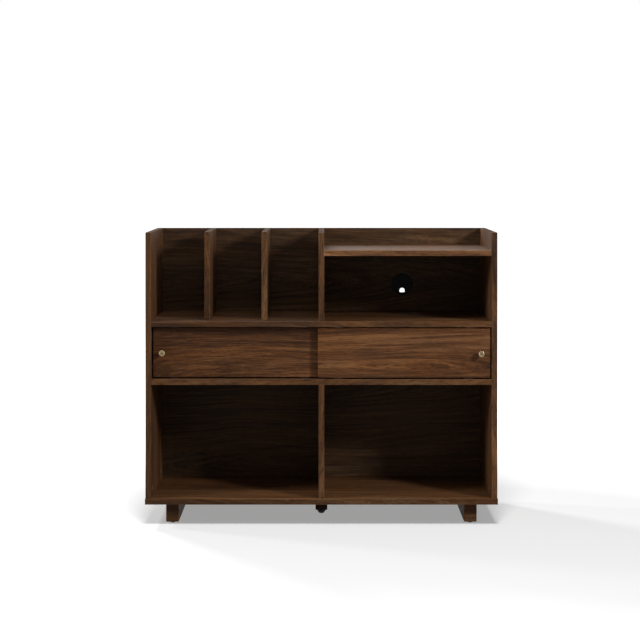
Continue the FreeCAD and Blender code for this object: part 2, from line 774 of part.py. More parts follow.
def make_track(label, line, base, height, opens_up):
    """A U-shaped plastic track, drawn across its run and padded along it."""
    body = doc.addObject("PartDesign::Body", label)
    sketch = new_sketch(body, "X", "0")
    wall = size("track_wall")
    inner = f"{TRACK_WIDTH} - {wall}"
    if opens_up:
        rim, floor, back = height, wall, "0"
    else:
        rim, floor, back = "0", f"{height} - {wall}", height
    corners = [("0", back), (TRACK_WIDTH, back), (TRACK_WIDTH, rim), (inner, rim)]
    corners += [(inner, floor), (wall, floor), (wall, rim), ("0", rim)]
    draw_polygon(sketch, corners)
    pad(body, sketch, f"2 * {INNER}")
    place(body, (f"-1 * {INNER}", f"{line} - {TRACK_WIDTH} / 2", base))
    make_node(body, label)


def make_shoe(label, reach):
    """A moulded door shoe: a block for the door's mortise and a tongue that runs in the track."""
    body = doc.addObject("PartDesign::Body", label)
    half_length = f"{size('glide_length')} / 2"
    half_block = f"{size('glide_block')} / 2"
    half_tongue = f"{size('tongue')} / 2"
    block = new_sketch(body, "Z", "0")
    draw_rectangle(block, (f"-1 * {half_length}", f"-1 * {half_block}"), (half_length, half_block))
    pad(body, block, size("glide_block_height"))
    blade = new_sketch(body, "Z", "0")
    draw_rectangle(blade, (f"-1 * {half_length}", f"-1 * {half_tongue}"), (half_length, half_tongue))
    pad(body, blade, reach, reverse=True)
    dress(body, "Fillet", size("tongue_round"), lambda edge: edge.BoundBox.ZMin < -1e-6 and is_upright(edge))
    screw_hole = new_sketch(body, "Y", half_block)
    draw_circles(
        screw_hole,
        [("0", f"{size('glide_block_height')} / 2")],
        f"{size('glide_screw_radius')} + {size('fit_play')}",
    )
    pocket(body, screw_hole, size("glide_block"), True)
    return body


def make_knob():
    """A brass knob turned about its axis: a foot, a slim waisted stem, a flare and a hollow-faced head."""
    reach = size("knob_reach")
    head_start = f"{reach} - {size('knob_head')}"
    stem_end = f"{head_start} - {size('knob_flare')}"
    bore = f"{size('knob_screw_radius')} + {size('fit_play')}"
    bore_end = f"{size('knob_screw_bite')} + {size('hole_end_play')}"
    profile = [
        (bore, "0"),
        (size("knob_foot_radius"), "0"),
        (size("knob_foot_radius"), size("knob_foot")),
        (size("knob_stem_radius"), size("knob_foot")),
        (size("knob_stem_radius"), stem_end),
        (size("knob_radius"), head_start),
        (size("knob_radius"), reach),
        ("0", reach),
        ("0", bore_end),
        (bore, bore_end),
    ]
    body = turned("knob_master", profile)
    waist = value(stem_end)
    dress(body, "Fillet", size("knob_waist_round"), lambda edge: is_level(edge, waist))
    top = value(reach)
    dress(body, "Fillet", size("knob_round"), lambda edge: is_level(edge, top))
    dish = body.newObject("PartDesign::SubtractiveSphere", "Dish")
    depth = size("knob_dish")
    radius = f"({size('knob_dish_radius')}^2 + {depth}^2) / (2 * {depth})"
    dish.setExpression("Radius", radius)
    dish.setExpression("Placement.Base.z", f"{reach} - {depth} + {radius}")
    doc.recompute()
    return body


class Door:
    """A sliding door and what is fixed to it: the front one stands on the right, which is side 1."""

    def __init__(self, side, label, face, line):
        overlap = f"{size('door_overlap')} / 2"
        self.side = side
        self.label = label
        self.line = line
        self.back = f"{face} + {size('door_board')}"
        self.start = f"-1 * {overlap}" if side > 0 else f"{overlap} - {DOOR_WIDTH}"
        extent = (DOOR_WIDTH, size("door_board"), DOOR_HEIGHT)
        self.board = Board(label, (self.start, face, DOOR_BOTTOM), extent)
        self.board.round_all()

    def fit_knob(self, knob, screw):
        """Bores the door and puts the knob before it and its screw in from behind."""
        outer = f"{self.start} + {DOOR_WIDTH}" if self.side > 0 else self.start
        x = f"{outer} {'-' if self.side > 0 else '+'} {size('knob_inset')}"
        behind = point(x, self.back, f"{DOOR_BOTTOM} + {DOOR_HEIGHT} / 2")
        before = shifted(behind, "Y", -1, size("door_board"))
        play = size("fit_play")
        self.board.drill("Y", "high", [behind], f"{size('knob_screw_radius')} + {play}", size("door_board"))
        self.board.drill(
            "Y", "high", [behind], f"{size('knob_screw_head_radius')} + {play}", size("knob_screw_head")
        )
        for name, master, where in (("knob", knob, before), ("knob_screw", screw, behind)):
            group = Group(f"{self.label}_{name}", master)
            group.add(corner_of(where), pointing("Y", -1))
            group.finish()

    def fit_shoes(self, name, shoe, edge, screws):
        """Mortises two shoes into the lower or the upper edge and screws them from behind."""
        level, sign, turn = {
            "low": (DOOR_BOTTOM, "+", Rotation()),
            "high": (DOOR_TOP, "-", Rotation(UNIT["X"], 180)),
        }[edge]
        half_length = f"{size('glide_length')} / 2"
        half_block = f"{size('glide_block')} / 2"
        inset = size("glide_inset")
        places = [f"{self.start} + {inset}", f"{self.start} + {DOOR_WIDTH} - {inset}"]
        group = Group(f"{self.label}_{name}", shoe)
        for x in places:
            low = point(f"{x} - {half_length}", f"{self.line} - {half_block}", level)
            high = point(f"{x} + {half_length}", f"{self.line} + {half_block}", level)
            self.board.groove("Z", edge, low, high, size("glide_block_height"))
            group.add((x, self.line, level), turn)
        group.finish()
        holes = [point(x, self.back, f"{level} {sign} {size('glide_block_height')} / 2") for x in places]
        play = size("fit_play")
        shank = f"{size('glide_screw_radius')} + {play}"
        head = f"{size('glide_screw_head_radius')} + {play}"
        self.board.drill("Y", "high", holes, shank, f"{size('glide_screw_length')} + {play}")
        self.board.drill("Y", "high", holes, head, size("glide_screw_head"))
        for where in holes:
            screws.add(corner_of(where), pointing("Y", -1))


def make_doors():
    """The two doors with their knobs, shoes and screws."""
    running_depth = f"{size('lower_channel_depth')} - {size('running_gap')}"
    glide = make_shoe("glide_master", f"{size('door_lower_gap')} + {running_depth}")
    guide = make_shoe("guide_master", f"{size('door_upper_gap')} + {size('guide_engagement')}")
    knob = make_knob()
    knob_screw = make_screw(
        "knob_screw_master",
        size("knob_screw_head_radius"),
        size("knob_screw_head"),
        [(size("knob_screw_radius"), f"{size('door_board')} + {size('knob_screw_bite')}")],
        conical=True,
    )
    shoe_screw = make_screw(
        "shoe_screw_master",
        size("glide_screw_head_radius"),
        size("glide_screw_head"),
        [(size("glide_screw_radius"), size("glide_screw_length"))],
        conical=True,
    )
    doors = ((1, "front_door", FRONT_DOOR, FRONT_DOOR_LINE), (-1, "rear_door", REAR_DOOR, REAR_DOOR_LINE))
    for side, label, face, line in doors:
        door = Door(side, label, face, line)
        door.fit_knob(knob, knob_screw)
        screws = Group(f"{label}_shoe_screws", shoe_screw)
        door.fit_shoes("glides", glide, "low", screws)
        door.fit_shoes("guides", guide, "high", screws)
        screws.finish()


def make_tracks():
    """The four tracks, let into the shelf below the doors and the shelf above them."""
    channel = f"{DOOR_BAY} - {LOWER_TRACK_HEIGHT}"
    for label, line in (("front", FRONT_DOOR_LINE), ("rear", REAR_DOOR_LINE)):
        make_track(f"{label}_lower_track", line, channel, LOWER_TRACK_HEIGHT, True)
        make_track(f"{label}_upper_track", line, MID_SHELF, UPPER_TRACK_HEIGHT, False)


def make_bumpers():
    """Two buffers on each side panel, in line with the door that closes on them."""
    length = f"{size('door_end_gap')} - {size('running_gap')}"
    bumper = turned("bumper_master", stepped_profile([(size("bumper_radius"), length)]))
    bumpers = Group("door_bumpers", bumper)
    inset = size("bumper_inset")
    for side, line in ((1, FRONT_DOOR_LINE), (-1, REAR_DOOR_LINE)):
        for level in (f"{DOOR_BOTTOM} + {inset}", f"{DOOR_TOP} - {inset}"):
            bumpers.add((ends(side), line, level), pointing("X", -side))
    bumpers.finish()


# --------------------------------------------------------------------------- base


def make_runner_foot():
    """A moulded foot with its nail, turned from the tip of the nail to the sole."""
    pin = size("foot_pin")
    rim = f"{pin} + {size('foot_height')} - {size('foot_rim')}"
    sole = f"{pin} + {size('foot_height')}"
    profile = [
        ("0", "0"),
        (size("foot_pin_radius"), "0"),
        (size("foot_pin_radius"), pin),
        (size("foot_radius"), pin),
        (size("foot_radius"), rim),
        (size("foot_sole_radius"), sole),
        ("0", sole),
    ]
    return turned("runner_foot_master", profile)


def make_runners(boards):
    """Two sled runners, each with pin-on feet, screwed up into the bottom panel through counterbores."""
    foot_height = size("foot_height")
    height = f"({UNDERSIDE} - {foot_height})"
    length = f"{size('side_depth')} - 2 * {size('runner_setback')}"
    start = f"{FRONT} + {size('runner_setback')}"
    middle = f"({FRONT} + {size('side_depth')} / 2)"
    spread = size("runner_screw_spacing")
    screw_lines = [f"{middle} - {spread}", middle, f"{middle} + {spread}"]
    foot_lines = [f"{start} + {size('foot_inset')}", f"{start} + {length} - {size('foot_inset')}"]
    counterbore = f"{height} - {size('runner_screw_length')} + {size('runner_screw_bite')}"
    head_level = f"{foot_height} + {counterbore} - {size('runner_screw_head')}"
    screw = make_screw(
        "runner_screw_master",
        size("runner_screw_head_radius"),
        size("runner_screw_head"),
        [(size("runner_screw_radius"), size("runner_screw_length"))],
    )
    screws = Group("runner_screws", screw)
    feet = Group("runner_feet", make_runner_foot())
    shank = f"{size('runner_screw_radius')} + {size('fit_play')}"
    bite = f"{size('runner_screw_bite')} - {size('runner_screw_head')} + {size('hole_end_play')}"
    pin = f"{size('foot_pin_radius')} + {size('fit_play')}"
    for side, label in ((-1, "left_runner"), (1, "right_runner")):
        outer = f"{HALF_WIDTH} - {size('runner_inset')}"
        corner_x = f"-1 * ({outer})" if side < 0 else f"{outer} - {size('runner_width')}"
        runner = Board(label, (corner_x, start, foot_height), (size("runner_width"), length, height))
        dress(
            runner.body,
            "Chamfer",
            size("runner_chamfer"),
            lambda edge: edge.BoundBox.ZMax < 1e-6 or is_upright(edge),
        )
        line = f"{corner_x} + {size('runner_width')} / 2"
        under = [point(line, y, foot_height) for y in screw_lines]
        runner.drill("Z", "low", under, shank, height)
        runner.drill("Z", "low", under, size("counterbore_radius"), counterbore)
        above = [point(line, y, UNDERSIDE) for y in screw_lines]
        boards["bottom_panel"].drill("Z", "low", above, shank, bite)
        for y in screw_lines:
            screws.add((line, y, head_level), Rotation())
        pins = [point(line, y, foot_height) for y in foot_lines]
        runner.drill("Z", "low", pins, pin, f"{size('foot_pin')} + {size('hole_end_play')}")
        for y in foot_lines:
            feet.add((line, y, f"{foot_height} + {size('foot_pin')}"), Rotation(UNIT["X"], 180))
    screws.finish()
    feet.finish()


def make_centre_leg(boards):
    """The centre leg, hung on a stud under the bottom panel and bored for its threaded insert."""
    play = size("fit_play")
    half = f"{size('leg_width')} / 2"
    lift = size("leg_lift")
    leg = Board(
        "centre_leg",
        (f"-1 * {half}", f"-1 * {half}", lift),
        (size("leg_width"), size("leg_width"), f"{UNDERSIDE} - {lift}"),
    )
    dress(leg.body, "Chamfer", size("runner_chamfer"), is_upright)
    foot = [point("0", "0", lift)]
    joint = [point("0", "0", UNDERSIDE)]
    leg.drill("Z", "low", foot, f"{size('stem_radius')} + {play}", size("stem_bore_depth"))
    leg.drill("Z", "low", foot, f"{size('insert_radius')} + {play}", size("insert_length"))
    stud_radius = f"{size('leg_stud_radius')} + {play}"
    stud_hole = f"{size('leg_stud_bite')} + {play}"
    leg.drill("Z", "high", joint, stud_radius, stud_hole)
    boards["bottom_panel"].drill("Z", "low", joint, stud_radius, stud_hole)
    stud_profile = stepped_profile([(size("leg_stud_radius"), f"2 * {size('leg_stud_bite')}")])
    stud = turned("centre_leg_stud", stud_profile)
    place(stud, ("0", "0", f"{UNDERSIDE} - {size('leg_stud_bite')}"))
    make_node(stud, "centre_leg_stud")


def make_insert():
    """The flanged insert in the foot of the centre leg."""
    bore = f"{size('stem_radius')} + {size('fit_play')}"
    flange = size("insert_flange")
    top = f"{flange} + {size('insert_length')}"
    insert = turned(
        "leveller_insert",
        [
            (bore, "0"),
            (size("insert_flange_radius"), "0"),
            (size("insert_flange_radius"), flange),
            (size("insert_radius"), flange),
            (size("insert_radius"), top),
            (bore, top),
        ],
    )
    place(insert, ("0", "0", f"{size('leg_lift')} - {flange}"))
    make_node(insert, "leveller_insert")


def make_leveller():
    """The levelling foot: a domed base with a fluted rim to turn it by, and its stem."""
    stem = turned("leveller_stem", stepped_profile([(size("stem_radius"), size("stem_length"))]))
    place(stem, ("0", "0", size("stem_socket")))
    make_node(stem, "leveller_stem")

    radius = size("leveller_radius")
    base = size("leveller_base")
    shoulder = f"{base} - {size('leveller_rim')}"
    profile = [
        ("0", "0"),
        (size("leveller_sole_radius"), "0"),
        (radius, shoulder),
        (radius, base),
        ("0", base),
    ]
    foot = turned("leveller_pad", profile)
    for level in ("0", shoulder):
        height = value(level)
        dress(foot, "Fillet", size("leveller_round"), lambda edge: is_level(edge, height))
    flute_sketch = new_sketch(foot, "Z", base)
    flute_radius = size("leveller_flute_radius")
    flute_centre = f"{radius} + {flute_radius} - {size('leveller_flute_depth')}"
    draw_circles(flute_sketch, [(flute_centre, "0")], flute_radius)
    flute = pocket(foot, flute_sketch, base, False)
    flutes = foot.newObject("PartDesign::PolarPattern", "Flutes")
    flutes.Originals = [flute]
    flutes.Axis = (flute_sketch, ["N_Axis"])
    flutes.Angle = 360
    flutes.setExpression("Occurrences", size("leveller_flutes"))
    foot.Tip = flutes
    doc.recompute()
    socket = new_sketch(foot, "Z", base)
    draw_circles(socket, [("0", "0")], f"{size('stem_radius')} + {size('fit_play')}")
    pocket(foot, socket, f"{base} - {size('stem_socket')}", False)
    make_node(foot, "leveller_pad")


# --------------------------------------------------------------------------- cable outlet


def make_grommet(boards):
    """The cable grommet in the back: a flanged liner and a cap with a notch for the cable, free to turn."""
    centre = point(OUTLET_X, BACK_BOARD, OUTLET_Z)
    boards["upper_back_panel"].drill("Y", "low", [centre], size("outlet_radius"), BOARD)
    sleeve = f"{size('outlet_radius')} - {size('fit_play')}"
    bore = f"{sleeve} - {size('grommet_wall')}"
    flange = size("grommet_flange_thickness")
    ledge_start = f"{size('grommet_cap_thickness')} + {size('running_gap')}"
    ledge_end = f"{ledge_start} + {size('grommet_ledge_thickness')}"
    ledge_bore = f"{bore} - {size('grommet_ledge')}"
    depth = f"{flange} + {BOARD}"
    liner = turned(
        "cable_grommet",
        [
            (bore, "0"),
            (f"{size('outlet_radius')} + {size('grommet_flange')}", "0"),
            (f"{size('outlet_radius')} + {size('grommet_flange')}", flange),
            (sleeve, flange),
            (sleeve, depth),
            (bore, depth),
            (bore, ledge_end),
            (ledge_bore, ledge_end),
            (ledge_bore, ledge_start),
            (bore, ledge_start),
        ],
    )
    cap = turned(
        "grommet_cap",
        stepped_profile([(f"{bore} - {size('running_gap')}", size("grommet_cap_thickness"))]),
    )
    notch = new_sketch(cap, "Z", size("grommet_cap_thickness"))
    floor = f"{bore} - {size('running_gap')} - {size('cap_notch_reach')}"
    radius = size("cap_notch_radius")
    draw_rectangle(notch, (f"-1 * {radius}", floor), (radius, size("outlet_radius")))
    pocket(cap, notch, size("grommet_cap_thickness"), False)
    round_end = new_sketch(cap, "Z", size("grommet_cap_thickness"))
    draw_circles(round_end, [("0", floor)], radius)
    pocket(cap, round_end, size("grommet_cap_thickness"), False)
    for body, label in ((liner, "cable_grommet"), (cap, "grommet_cap")):
        body.Placement = FreeCAD.Placement(Vector(), Rotation(UNIT["X"], -90))
        place(body, (OUTLET_X, f"{BACK_BOARD} - {flange}", OUTLET_Z))
        make_node(body, label)


# --------------------------------------------------------------------------- the whole cabinet


def check_features():
    """Stops if any object failed or any piece isn't a sound solid."""
    for part in doc.Objects:
        if "Invalid" in part.State or "Error" in part.State:
            raise RuntimeError(f"{part.Label} is in state {part.State}")
    for node in nodes:
        shape = node.Shape
        if shape.isNull() or not shape.isValid() or not shape.Solids:
            raise RuntimeError(f"{node.Label} has no sound solid")


def write_pieces():
    """Writes each piece to its own STEP file."""
    os.makedirs("parts", exist_ok=True)
    for node in nodes:
        node.Shape.exportStep(os.path.join("parts", f"{node.Label}.step"))


def main():
    """Builds the cabinet and writes its pieces."""
    fill_sheet()
    boards = make_carcass()
    mill_grooves(boards)
    join_boards(boards)
    make_back_sheets(boards)
    make_doors()
    make_tracks()
    make_bumpers()
    make_runners(boards)
    make_centre_leg(boards)
    make_insert()
    make_leveller()
    make_grommet(boards)
    doc.recompute()
    check_features()
    write_pieces()
    print(f"{len(nodes)} nodes, {sum(len(node.Shape.Solids) for node in nodes)} solids")


main()
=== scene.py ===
"""Dresses the record cabinet: walnut veneer, turned brass knobs, fasteners with drives, and a studio."""

import logging
import math
from collections.abc import Callable, Iterable
from dataclasses import dataclass, field
from enum import Enum

import bmesh
import bpy
from mathutils import Matrix, Vector


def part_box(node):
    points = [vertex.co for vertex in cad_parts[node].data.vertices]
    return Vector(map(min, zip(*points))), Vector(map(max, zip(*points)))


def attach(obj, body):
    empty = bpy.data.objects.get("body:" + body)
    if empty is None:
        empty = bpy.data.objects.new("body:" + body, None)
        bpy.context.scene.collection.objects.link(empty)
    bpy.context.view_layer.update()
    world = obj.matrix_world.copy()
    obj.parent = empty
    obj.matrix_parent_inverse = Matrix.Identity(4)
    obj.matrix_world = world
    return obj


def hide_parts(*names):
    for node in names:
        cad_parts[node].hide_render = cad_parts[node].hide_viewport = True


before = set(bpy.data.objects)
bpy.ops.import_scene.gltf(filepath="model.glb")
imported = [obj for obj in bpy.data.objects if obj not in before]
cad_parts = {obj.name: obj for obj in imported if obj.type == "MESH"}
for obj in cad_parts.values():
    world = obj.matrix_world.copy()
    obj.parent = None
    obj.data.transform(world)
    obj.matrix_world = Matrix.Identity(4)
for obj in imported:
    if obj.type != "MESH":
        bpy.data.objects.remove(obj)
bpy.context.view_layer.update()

LOG = logging.getLogger("record_cabinet")
MM = 0.001
Triple = tuple[float, float, float]
Colour = Triple
Socket = bpy.types.NodeSocket
ORIGIN: Triple = (0.0, 0.0, 0.0)
UP: Triple = (0.0, 0.0, 1.0)
WHITE = (1.0, 1.0, 1.0, 1.0)
# Most of a noise lies between these two values.
NOISE_RANGE = (0.3, 0.7)
# The depth of a thread and the places of its flanks, as shares of its pitch.
THREAD_DEPTH = 0.61
THREAD_FLANKS = (0.12, 0.5, 0.62)


class Axis(Enum):
    """A direction of the cabinet: across it, from its front to its back, or up."""

    X = 0
    Y = 1
    Z = 2


class Drive(Enum):
    """The recess in a screw's head."""

    HEX = "hexagon socket"
    CROSS = "cross recess"


# ---------------------------------------- finishes


class Shader:
    """A material's node tree, with short calls for the nodes that the finishes share."""

    MEASURES = ("LENGTH", "DISTANCE", "DOT_PRODUCT")

    def __init__(self, name: str) -> None:
        """Starts an empty material with a surface shader.

        Args:
            name: The material's name.
        """
        self.material = bpy.data.materials.new(name)
        self.material.use_nodes = True
        self.tree = self.material.node_tree
        self.tree.nodes.clear()
        output = self.node("ShaderNodeOutputMaterial")
        self.surface = self.node("ShaderNodeBsdfPrincipled")
        self.link(self.surface.outputs["BSDF"], output.inputs["Surface"])
        coordinates = self.node("ShaderNodeTexCoord").outputs
        self.place = coordinates["Object"]
        self.facing = coordinates["Normal"]

    def node(self, kind: str, **settings: object) -> bpy.types.Node:
        """Adds a node.

        Args:
            kind: The node's type name.
            **settings: Properties to set on it.

        Returns:
            The new node.
        """
        made = self.tree.nodes.new(kind)
        for key, value in settings.items():
            setattr(made, key, value)
        return made

    def link(self, source: Socket, target: Socket) -> None:
        """Joins two sockets."""
        self.tree.links.new(source, target)

    def feed(self, target: Socket, value: Socket | float | Triple) -> None:
        """Sets a socket to a value, or links it to another socket.

        Args:
            target: The socket to set.
            value: Its value, or the socket that it comes from.
        """
        if isinstance(value, bpy.types.NodeSocket):
            self.link(value, target)
        else:
            target.default_value = value

    def math(self, operation: str, first: Socket | float, second: Socket | float = 0.0) -> Socket:
        """Adds a Math node.

        Args:
            operation: The node's operation.
            first: Its first value.
            second: Its second value.

        Returns:
            The result's socket.
        """
        made = self.node("ShaderNodeMath", operation=operation)
        self.feed(made.inputs[0], first)
        self.feed(made.inputs[1], second)
        return made.outputs[0]

    def vector(
        self,
        operation: str,
        first: Socket | Triple,
        second: Socket | Triple | float = ORIGIN,
        third: Socket | None = None,
    ) -> Socket:
        """Adds a Vector Math node.

        Args:
            operation: The node's operation.
            first: Its first vector.
            second: Its second vector, or the factor of a scaling.
            third: Its third vector, where it takes one.

        Returns:
            The result's socket: a value where the operation measures something, or else a vector.
        """
        made = self.node("ShaderNodeVectorMath", operation=operation)
        self.feed(made.inputs[0], first)
        self.feed(made.inputs["Scale"] if operation == "SCALE" else made.inputs[1], second)
        if third is not None:
            self.link(third, made.inputs[2])
        return made.outputs[1 if operation in self.MEASURES else 0]

    def parts_of(self, vector: Socket) -> list[Socket]:
        """Splits a vector.

        Args:
            vector: The vector.

        Returns:
            The sockets of its X, Y and Z.
        """
        made = self.node("ShaderNodeSeparateXYZ")
        self.link(vector, made.inputs[0])
        return list(made.outputs)

    def joined(self, *parts: Socket | float) -> Socket:
        """Joins values to a vector.

        Args:
            *parts: Its X, Y and Z.

        Returns:
            The vector's socket.
        """
        made = self.node("ShaderNodeCombineXYZ")
        for target, part in zip(made.inputs, parts):
            self.feed(target, part)
        return made.outputs[0]

    def mixed(self, factor: Socket, first: Socket | Triple, second: Socket | Triple) -> Socket:
        """Mixes two vectors.

        Args:
            factor: The share of the second one, from 0 to 1.
            first: The first vector.
            second: The second vector.

        Returns:
            The mixed vector's socket.
        """
        made = self.node("ShaderNodeMix", data_type="VECTOR")
        self.link(factor, made.inputs[0])
        vectors = [target for target in made.inputs if target.type == "VECTOR" and target.enabled]
        for target, value in zip(vectors[-2:], (first, second)):
            self.feed(target, value)
        return [source for source in made.outputs if source.type == "VECTOR"][0]

    def weigh(self, parts: Iterable[tuple[Socket, float]]) -> Socket:
        """Adds up sockets, each times its own weight.

        Args:
            parts: Pairs of a socket and its weight.

        Returns:
            The sum's socket.
        """
        total: Socket | float = 0.0
        for value, weight in parts:
            made = self.node("ShaderNodeMath", operation="MULTIPLY_ADD")
            self.feed(made.inputs[0], value)
            made.inputs[1].default_value = weight
            self.feed(made.inputs[2], total)
            total = made.outputs[0]
        return total

    def noise(
        self,
        scale: Iterable[float],
        detail: float,
        roughness: float = 0.55,
        source: Socket | None = None,
        shift: Iterable[float] = ORIGIN,
        output: int | str = 0,
    ) -> Socket:
        """Adds a Noise texture on scaled and moved coordinates.

        Args:
            scale: How often it repeats along each axis, per metre.
            detail: Its number of octaves.
            roughness: How strong the finer octaves are.
            source: The coordinates to start from, the object's own if left out.
            shift: How far the pattern is moved.
            output: The output to read, its value if left out.

        Returns:
            The output's socket.
        """
        placed = self.node("ShaderNodeMapping")
        self.link(source or self.place, placed.inputs["Vector"])
        placed.inputs["Location"].default_value = shift
        placed.inputs["Scale"].default_value = scale
        made = self.node("ShaderNodeTexNoise")
        self.link(placed.outputs[0], made.inputs["Vector"])
        made.inputs["Scale"].default_value = 1.0
        made.inputs["Detail"].default_value = detail
        made.inputs["Roughness"].default_value = roughness
        return made.outputs[output]

    def ramp(self, value: Socket, stops: list[tuple[float, Colour]]) -> Socket:
        """Colours a value.

        Args:
            value: The value from 0 to 1.
            stops: Pairs of a position and its colour, from low to high.

        Returns:
            The colour's socket.
        """
        made = self.node("ShaderNodeValToRGB")
        self.link(value, made.inputs["Fac"])
        elements = made.color_ramp.elements
        while len(elements) < len(stops):
            elements.new(0.5)
        for element, (position, colour) in zip(elements, stops):
            element.position = position
            element.color = (*colour, 1.0)
        return made.outputs["Color"]

    def span(self, value: Socket, low: float, high: float, first: float, last: float) -> Socket:
        """Carries a value from one range to another, and keeps it inside that range.

        Args:
            value: The value.
            low: The start of its range.
            high: The end of its range.
            first: What the start becomes.
            last: What the end becomes.

        Returns:
            The result's socket.
        """
        made = self.node("ShaderNodeMapRange")
        self.link(value, made.inputs["Value"])
        for name, number in zip(("From Min", "From Max", "To Min", "To Max"), (low, high, first, last)):
            made.inputs[name].default_value = number
        return made.outputs["Result"]

    def bump(self, height: Socket, distance: float, strength: float) -> None:
        """Gives the surface a fine relief.

        Args:
            height: The relief's height, from 0 to 1.
            distance: The depth in metres that 1 stands for.
            strength: How much of it shows.
        """
        made = self.node("ShaderNodeBump")
        made.inputs["Strength"].default_value = strength
        made.inputs["Distance"].default_value = distance
        self.link(height, made.inputs["Height"])
        self.link(made.outputs[0], self.surface.inputs["Normal"])


@dataclass(frozen=True)
class Log:
    """The log that a veneer was sliced from: a point of its heart, and how the heart strays from the grain.

    The growth rings are cylinders about the heart. Where it leans to a board's face, they show there as
    slender arches.
    """

    heart: Triple
    stray: Triple

    # Each sample has two shares, from 0 to 1, and these are their steps from one sample to the next.
    SHARE_STEPS = (0.618, 0.414)
    SPREAD = 0.8
    LEAST_DEPTH = 0.03
    MORE_DEPTH = 0.05
    LEAST_LEAN = 0.05
    MORE_LEAN = 0.07

    @staticmethod
    def under(node: str, grain: Axis, sample: int) -> "Log":
        """A log for a board, each sample with its heart in another place.

        Args:
            node: The board's name.
            grain: The direction of its grain.
            sample: The number of the sample.

        Returns:
            The log.
        """
        low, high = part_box(node)
        size = high - low
        thin = min(range(3), key=lambda number: size[number])
        wide = 3 - thin - grain.value
        first, second = ((sample * step) % 1.0 for step in Log.SHARE_STEPS)
        heart = (low + high) / 2
        heart[wide] += (first - 0.5) * Log.SPREAD * size[wide]
        heart[thin] += Log.LEAST_DEPTH + Log.MORE_DEPTH * second
        stray = Vector()
        stray[thin] = (Log.LEAST_LEAN + Log.MORE_LEAN * first) * (1 if second > 0.5 else -1)
        return Log(tuple(heart), tuple(stray))


